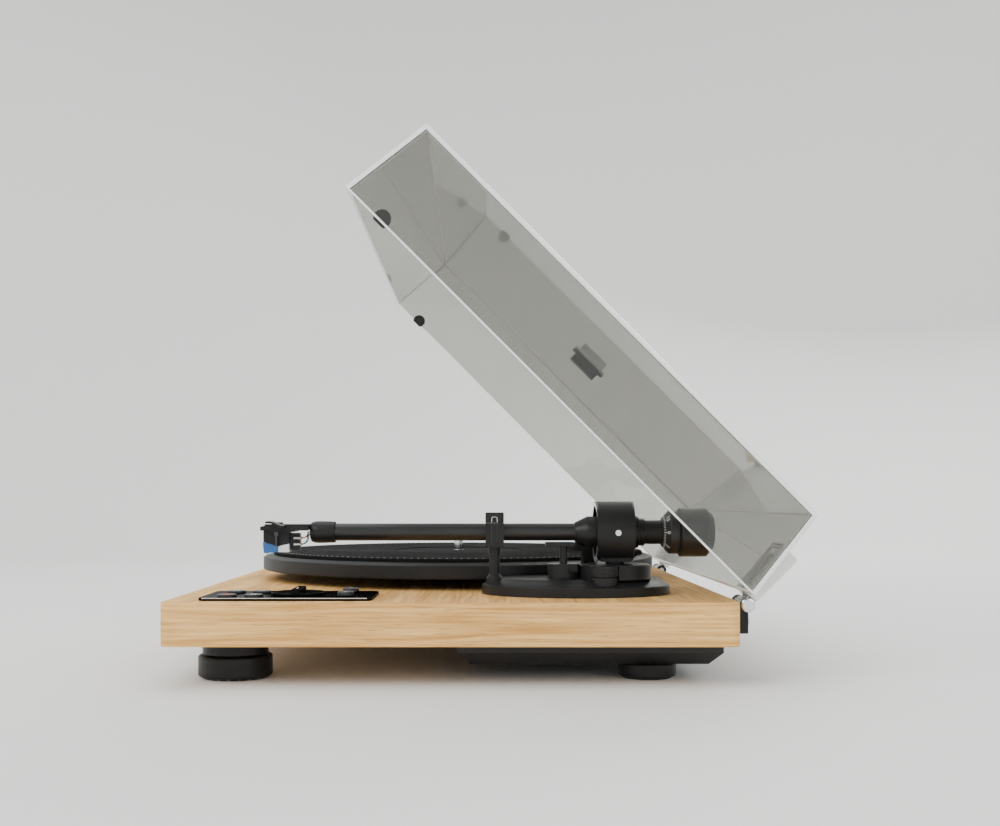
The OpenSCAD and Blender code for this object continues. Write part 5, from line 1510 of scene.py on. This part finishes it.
    def rims(self) -> None:
        """Bright turned edges at the ring's two ends, open below where the ring is flat."""
        low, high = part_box("gimbal_ring")
        centre = self.middle("arm_tube")
        radius = self.radius_of("gimbal_ring")
        bore = radius - self.rim_w
        for name, place, inward in (("front", low.y, 1), ("rear", high.y, -1)):
            out, deep = -self.rim_out * inward, self.rim_in * inward
            flat, proud = radius - self.rim_chamfer, radius + self.rim_proud
            profile = [(bore, out), (flat, out), (proud, deep), (bore, deep), (bore, out)]
            start = Vector((centre.x, place, centre.z))
            sweep = (self.rim_from, self.rim_sweep)
            rim = self.bench.lathe(f"ring_rim_{name}", profile, start, Axis.Y, self.turned_steps, sweep)
            self.fit(self.bench.soften(rim), "yoke", CUT_EDGE)

    def weight(self) -> None:
        """The counterweight, turned with chamfers at both ends and a fine groove."""
        pivot = self.axis_at(0)
        weight = self.bench.lathe("weight_turned", self.weight_profile, pivot, Axis.Y, self.weight_steps)
        self.fit(self.bench.soften(weight, self.turned_edge), "weight", WEIGHT_PAINT, "counterweight")

    def dial(self) -> None:
        """The force dial with its ticks and plain numbers."""
        pivot = self.axis_at(0)
        ring = self.bench.lathe("dial_turned", self.dial_profile, pivot, Axis.Y, self.turned_steps)
        self.fit(self.bench.soften(ring), "force_dial", WEIGHT_PAINT, "dial_ring")
        marks = [self.tick(i) for i in range(self.tick_count)]
        for i, number in enumerate(self.numbers):
            place = self.on_cone(FULL_TURN * i / len(self.numbers), self.number_back)
            marks.append(self.bench.lettering(f"number_{i}", number, self.number_h, place))
        joined = self.bench.join(marks)
        joined.name = "dial_marks"
        self.fit(joined, "force_dial", WHITE_INK)

    def on_cone(self, turn: float, back: float) -> Matrix:
        """A place on the dial's cone: across it, up its slope, and out of it.

        Args:
            turn: the angle round the arm's axis.
            back: millimetres behind the pivot.

        Returns:
            The place with its directions.
        """
        (foot_r, foot_back), (top_r, top_back) = self.cone_foot, self.cone_top
        lean = math.atan2(top_r - foot_r, top_back - foot_back)
        radius = foot_r + (back - foot_back) * math.tan(lean)
        spin = Matrix.Rotation(turn, 4, Vector(Axis.Y.value))
        sine, cosine = math.sin(lean), math.cos(lean)
        slope = Matrix(((0, sine, cosine), (0, cosine, -sine), (-1, 0, 0))).to_4x4()
        return Matrix.Translation(self.axis_at(back)) @ spin @ Matrix.Translation((radius * MM, 0, 0)) @ slope

    def tick(self, i: int) -> bpy.types.Object:
        """One tick of the dial, longer at every fifth.

        Args:
            i: the tick's number, from 0.

        Returns:
            The tick.
        """
        long = i % (self.tick_count // len(self.numbers)) == 0
        length = self.tick_long if long else self.tick_short
        width, height = self.tick_size
        size = (width, length, height)
        tick = self.bench.block(f"tick_{i}", Vector((0, 0, 0)), size, self.tick_edge, segments=1)
        back = self.tick_back + length / 2 * self.tick_slope_share
        tick.data.transform(self.on_cone(FULL_TURN * i / self.tick_count, back))
        return tick

    def stylus(self) -> None:
        """The stylus: a blue guard in front and a white plug behind, with the white tip."""
        piece = self.bench.finer("stylus", self.stylus_edge)
        self.fit(piece, "stylus_assembly", BLUE_PC, "stylus")
        piece.data.materials.append(WHITE_ACETAL.material())
        plug, tip = self.at(0, self.guard_back_y, 0), self.at(0, 0, self.guard_bottom_z)
        self.bench.cut(piece, plug, Axis.Y.value)
        self.bench.cut(piece, tip, Axis.Z.value)
        self.bench.soften(piece)
        for face in piece.data.polygons:
            face.material_index = int(face.center.y > plug.y or face.center.z < tip.z)

    def leads(self) -> None:
        """Four fine leads from the arm's stem to the cartridge's pins, each with a bright clip."""
        stem = self.at(*self.stem)
        colours = (WIRE_WHITE, WIRE_RED, WIRE_BLUE, WIRE_GREEN)
        spots = [(side * self.pin_x, z) for z in self.pin_z for side in (-1, 1)]
        for i, ((x, z), finish) in enumerate(zip(spots, colours)):
            end = self.at(self.stem[0] + x, self.pin_y, z)
            across, up = x * self.root_shares[0], (z - self.pins_middle_z) * self.root_shares[1]
            root = stem + Vector((across, 0, up)) * MM
            bow = (root + end) / 2 + Vector((x * self.bow_share, *self.bow_shift)) * MM
            leaves = root - Vector((0, self.leave, 0)) * MM
            arrives = end + Vector((0, self.arrive, 0)) * MM
            lead = self.bench.wire(f"lead_{i}", [root, leaves, bow, arrives, end], self.lead_r)
            self.fit(lead, "arm", finish)
            start = end - Vector((0, self.clip_reach, 0)) * MM
            clip = self.bench.lathe(f"lead_clip_{i}", self.clip_profile, start, Axis.Y, self.clip_steps)
            self.fit(self.bench.soften(clip), "arm", TINNED)


@dataclass
class DustCover(SubAssembly):
    """The clear cover with its hinges, bumpers and pad."""

    cover_edge: float = 1.2
    knuckle_edge: float = 0.6
    socket_edge: float = 0.5
    bumper_edge: float = 0.3
    pad_edge: float = 0.4
    cap_r: float = 4.35
    cap_dome: Profile = (
        (0, -0.2), (cap_r, -0.2), (cap_r, 0.5), (cap_r - 0.6, 0.9), (cap_r - 1.4, 1.0), (0, 1.15),
    )  # fmt: skip
    cap_steps: int = 48
    sheet_t: float = 3.1
    sheet_area: float = 0.02
    sheet_lean: float = 0.5

    def build(self) -> None:
        """Rounds the edges of the cover and of the hinge knuckles, paints those edges near-white as a painted
        highlight, and dresses the hinges.
        """
        # The rounded edges of the cover and of the hinge knuckles get a near-white colour: a painted
        # highlight
        self.painted_highlight_ends(self.finer("dust_cover", self.cover_edge, SMOKED, edges=PAINTED_EDGE_HIGHLIGHT))
        self.finer("hinge_knuckles", self.knuckle_edge, FROSTED, edges=PAINTED_EDGE_HIGHLIGHT)
        self.finer("hinge_sockets", self.socket_edge, FOOT_ABS)
        self.dress(ZINC, "hinge_pins")
        self.caps()
        self.finer("lid_bumpers", self.bumper_edge, RUBBER)
        self.finer("lid_pad", self.pad_edge, RUBBER)

    def painted_highlight_ends(self, cover: bpy.types.Object) -> None:
        """Marks where the top, front and back sheets end in the two sides, and paints those ends near-white
        as a painted highlight.

        Args:
            cover: the cover's rounded copy.
        """
        middle = self.middle("dust_cover")

        def is_sheet(face: Any) -> bool:
            """Whether a face is the outer one of the top, front or back sheet."""
            outside = face.normal.dot(face.center - middle) > 0
            return face.area > self.sheet_area and abs(face.normal.x) < self.sheet_lean and outside

        sheets = [(face.center.copy(), face.normal.copy()) for face in cover.data.polygons if is_sheet(face)]
        depth = self.sheet_t * MM
        for place, across in sheets:
            self.bench.cut(cover, place - across * depth, across)
        # Side faces where a sheet ends take the near-white edge finish: a painted highlight
        for face in cover.data.polygons:
            is_side = abs(face.normal.x) > FACING
            if is_side and any((face.center - place).dot(across) > -depth for place, across in sheets):
                face.material_index = 1
        self.bench.soften(cover)

    def caps(self) -> None:
        """Silver caps over the pins' ends, domed a little."""
        low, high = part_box("hinge_pins")
        axis = (low + high) / 2
        for name, face, out in (("left", low.x, -1), ("right", high.x, 1)):
            profile = [(r, height * out) for r, height in self.cap_dome]
            start = Vector((face, axis.y, axis.z))
            cap = self.bench.lathe(f"hinge_cap_{name}", profile, start, Axis.X, self.cap_steps)
            self.fit(self.bench.soften(cap), "base", CHROME)


# The studio


@dataclass(frozen=True)
class Lamp:
    """A square soft light: where it hangs and its side, in metres, and its power, in watts."""

    name: str
    place: Point
    side: float
    power: float


@dataclass
class Studio:
    """The pale surround, the soft lights and the camera."""

    bench: Bench
    floor_r: float = 1500.0
    wall_r: float = 900.0
    wall_h: float = 2000.0
    curve_steps: int = 12
    floor_steps: int = 96
    air_colour: str = "#E9EBEE"
    air_strength: float = 0.8
    lamps: tuple[Lamp, ...] = (
        Lamp("key", (1.5, -1.4, 1.5), 1.3, 36.0),
        Lamp("fill", (1.7, 1.3, 0.9), 1.2, 11.0),
        Lamp("top", (-0.3, -0.1, 2.1), 2.0, 30.0),
        Lamp("back", (-1.6, 0.9, 1.3), 1.2, 22.0),
    )
    aim: Point = (0.0, 0.0, 0.12)
    camera_place: Point = (0.912, -0.0043, 0.1151)
    lens_mm: float = 42.16
    sensor_mm: float = 36.0
    shift: tuple[float, float] = (0.0168, 0.0842)
    nearest: float = 0.01

    def build(self) -> None:
        """Sets the floor, the lights and the camera."""
        self.surround()
        for lamp in self.lamps:
            self.light(lamp)
        world = bpy.context.scene.world or bpy.data.worlds.new("studio_air")
        bpy.context.scene.world = world
        world.use_nodes = True
        air = world.node_tree.nodes["Background"]
        air.inputs["Color"].default_value = linear(self.air_colour)
        air.inputs["Strength"].default_value = self.air_strength
        self.camera()

    def surround(self) -> None:
        """A pale floor that turns up into a round wall, without an edge."""
        turns = [math.pi / 2 * i / self.curve_steps for i in range(1, self.curve_steps + 1)]
        curve = [(self.floor_r + self.wall_r * math.sin(a), self.wall_r * (1 - math.cos(a))) for a in turns]
        profile = [(0.0, 0.0), (self.floor_r, 0.0), *curve, (self.floor_r + self.wall_r, self.wall_h)]
        floor = self.bench.lathe("studio_floor", profile, Vector((0, 0, 0)), Axis.Z, self.floor_steps)
        self.bench.pick(floor, lambda face: True)
        bpy.ops.mesh.flip_normals()
        bpy.ops.object.mode_set(mode="OBJECT")
        bpy.ops.object.shade_smooth()
        floor.data.materials.append(PAPER.material())

    def light(self, lamp: Lamp) -> None:
        """Hangs a soft light so that it looks at the turntable.

        Args:
            lamp: its name, place, size and power.
        """
        bpy.ops.object.light_add(type="AREA", location=lamp.place)
        hung = bpy.context.object
        hung.name = f"light_{lamp.name}"
        hung.data.size = lamp.side
        hung.data.energy = lamp.power
        aim = Vector(self.aim) - Vector(lamp.place)
        hung.rotation_euler = aim.to_track_quat("-Z", "Y").to_euler()

    def camera(self) -> None:
        """The photograph's camera: level, from the right-hand side."""
        bpy.ops.object.camera_add(location=self.camera_place, rotation=(math.pi / 2, 0, math.pi / 2))
        camera = bpy.context.object
        camera.name = "photograph_camera"
        camera.data.lens = self.lens_mm
        camera.data.sensor_width = self.sensor_mm
        camera.data.shift_x, camera.data.shift_y = self.shift
        camera.data.clip_start = self.nearest
        bpy.context.scene.camera = camera


def main() -> None:
    """Builds the sub-assemblies in order and reports their pieces."""
    logging.basicConfig(level=logging.INFO, format="%(name)s %(message)s")
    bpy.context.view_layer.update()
    bench = Bench()
    Studio(bench).build()
    for kind in (Plinth, RearSockets, Drive, Platter, ControlPanel, ArmBase, ToneArm, DustCover):
        assembly = kind(bench)
        assembly.build()
        assembly.report()


if __name__ == "__main__":
    main()
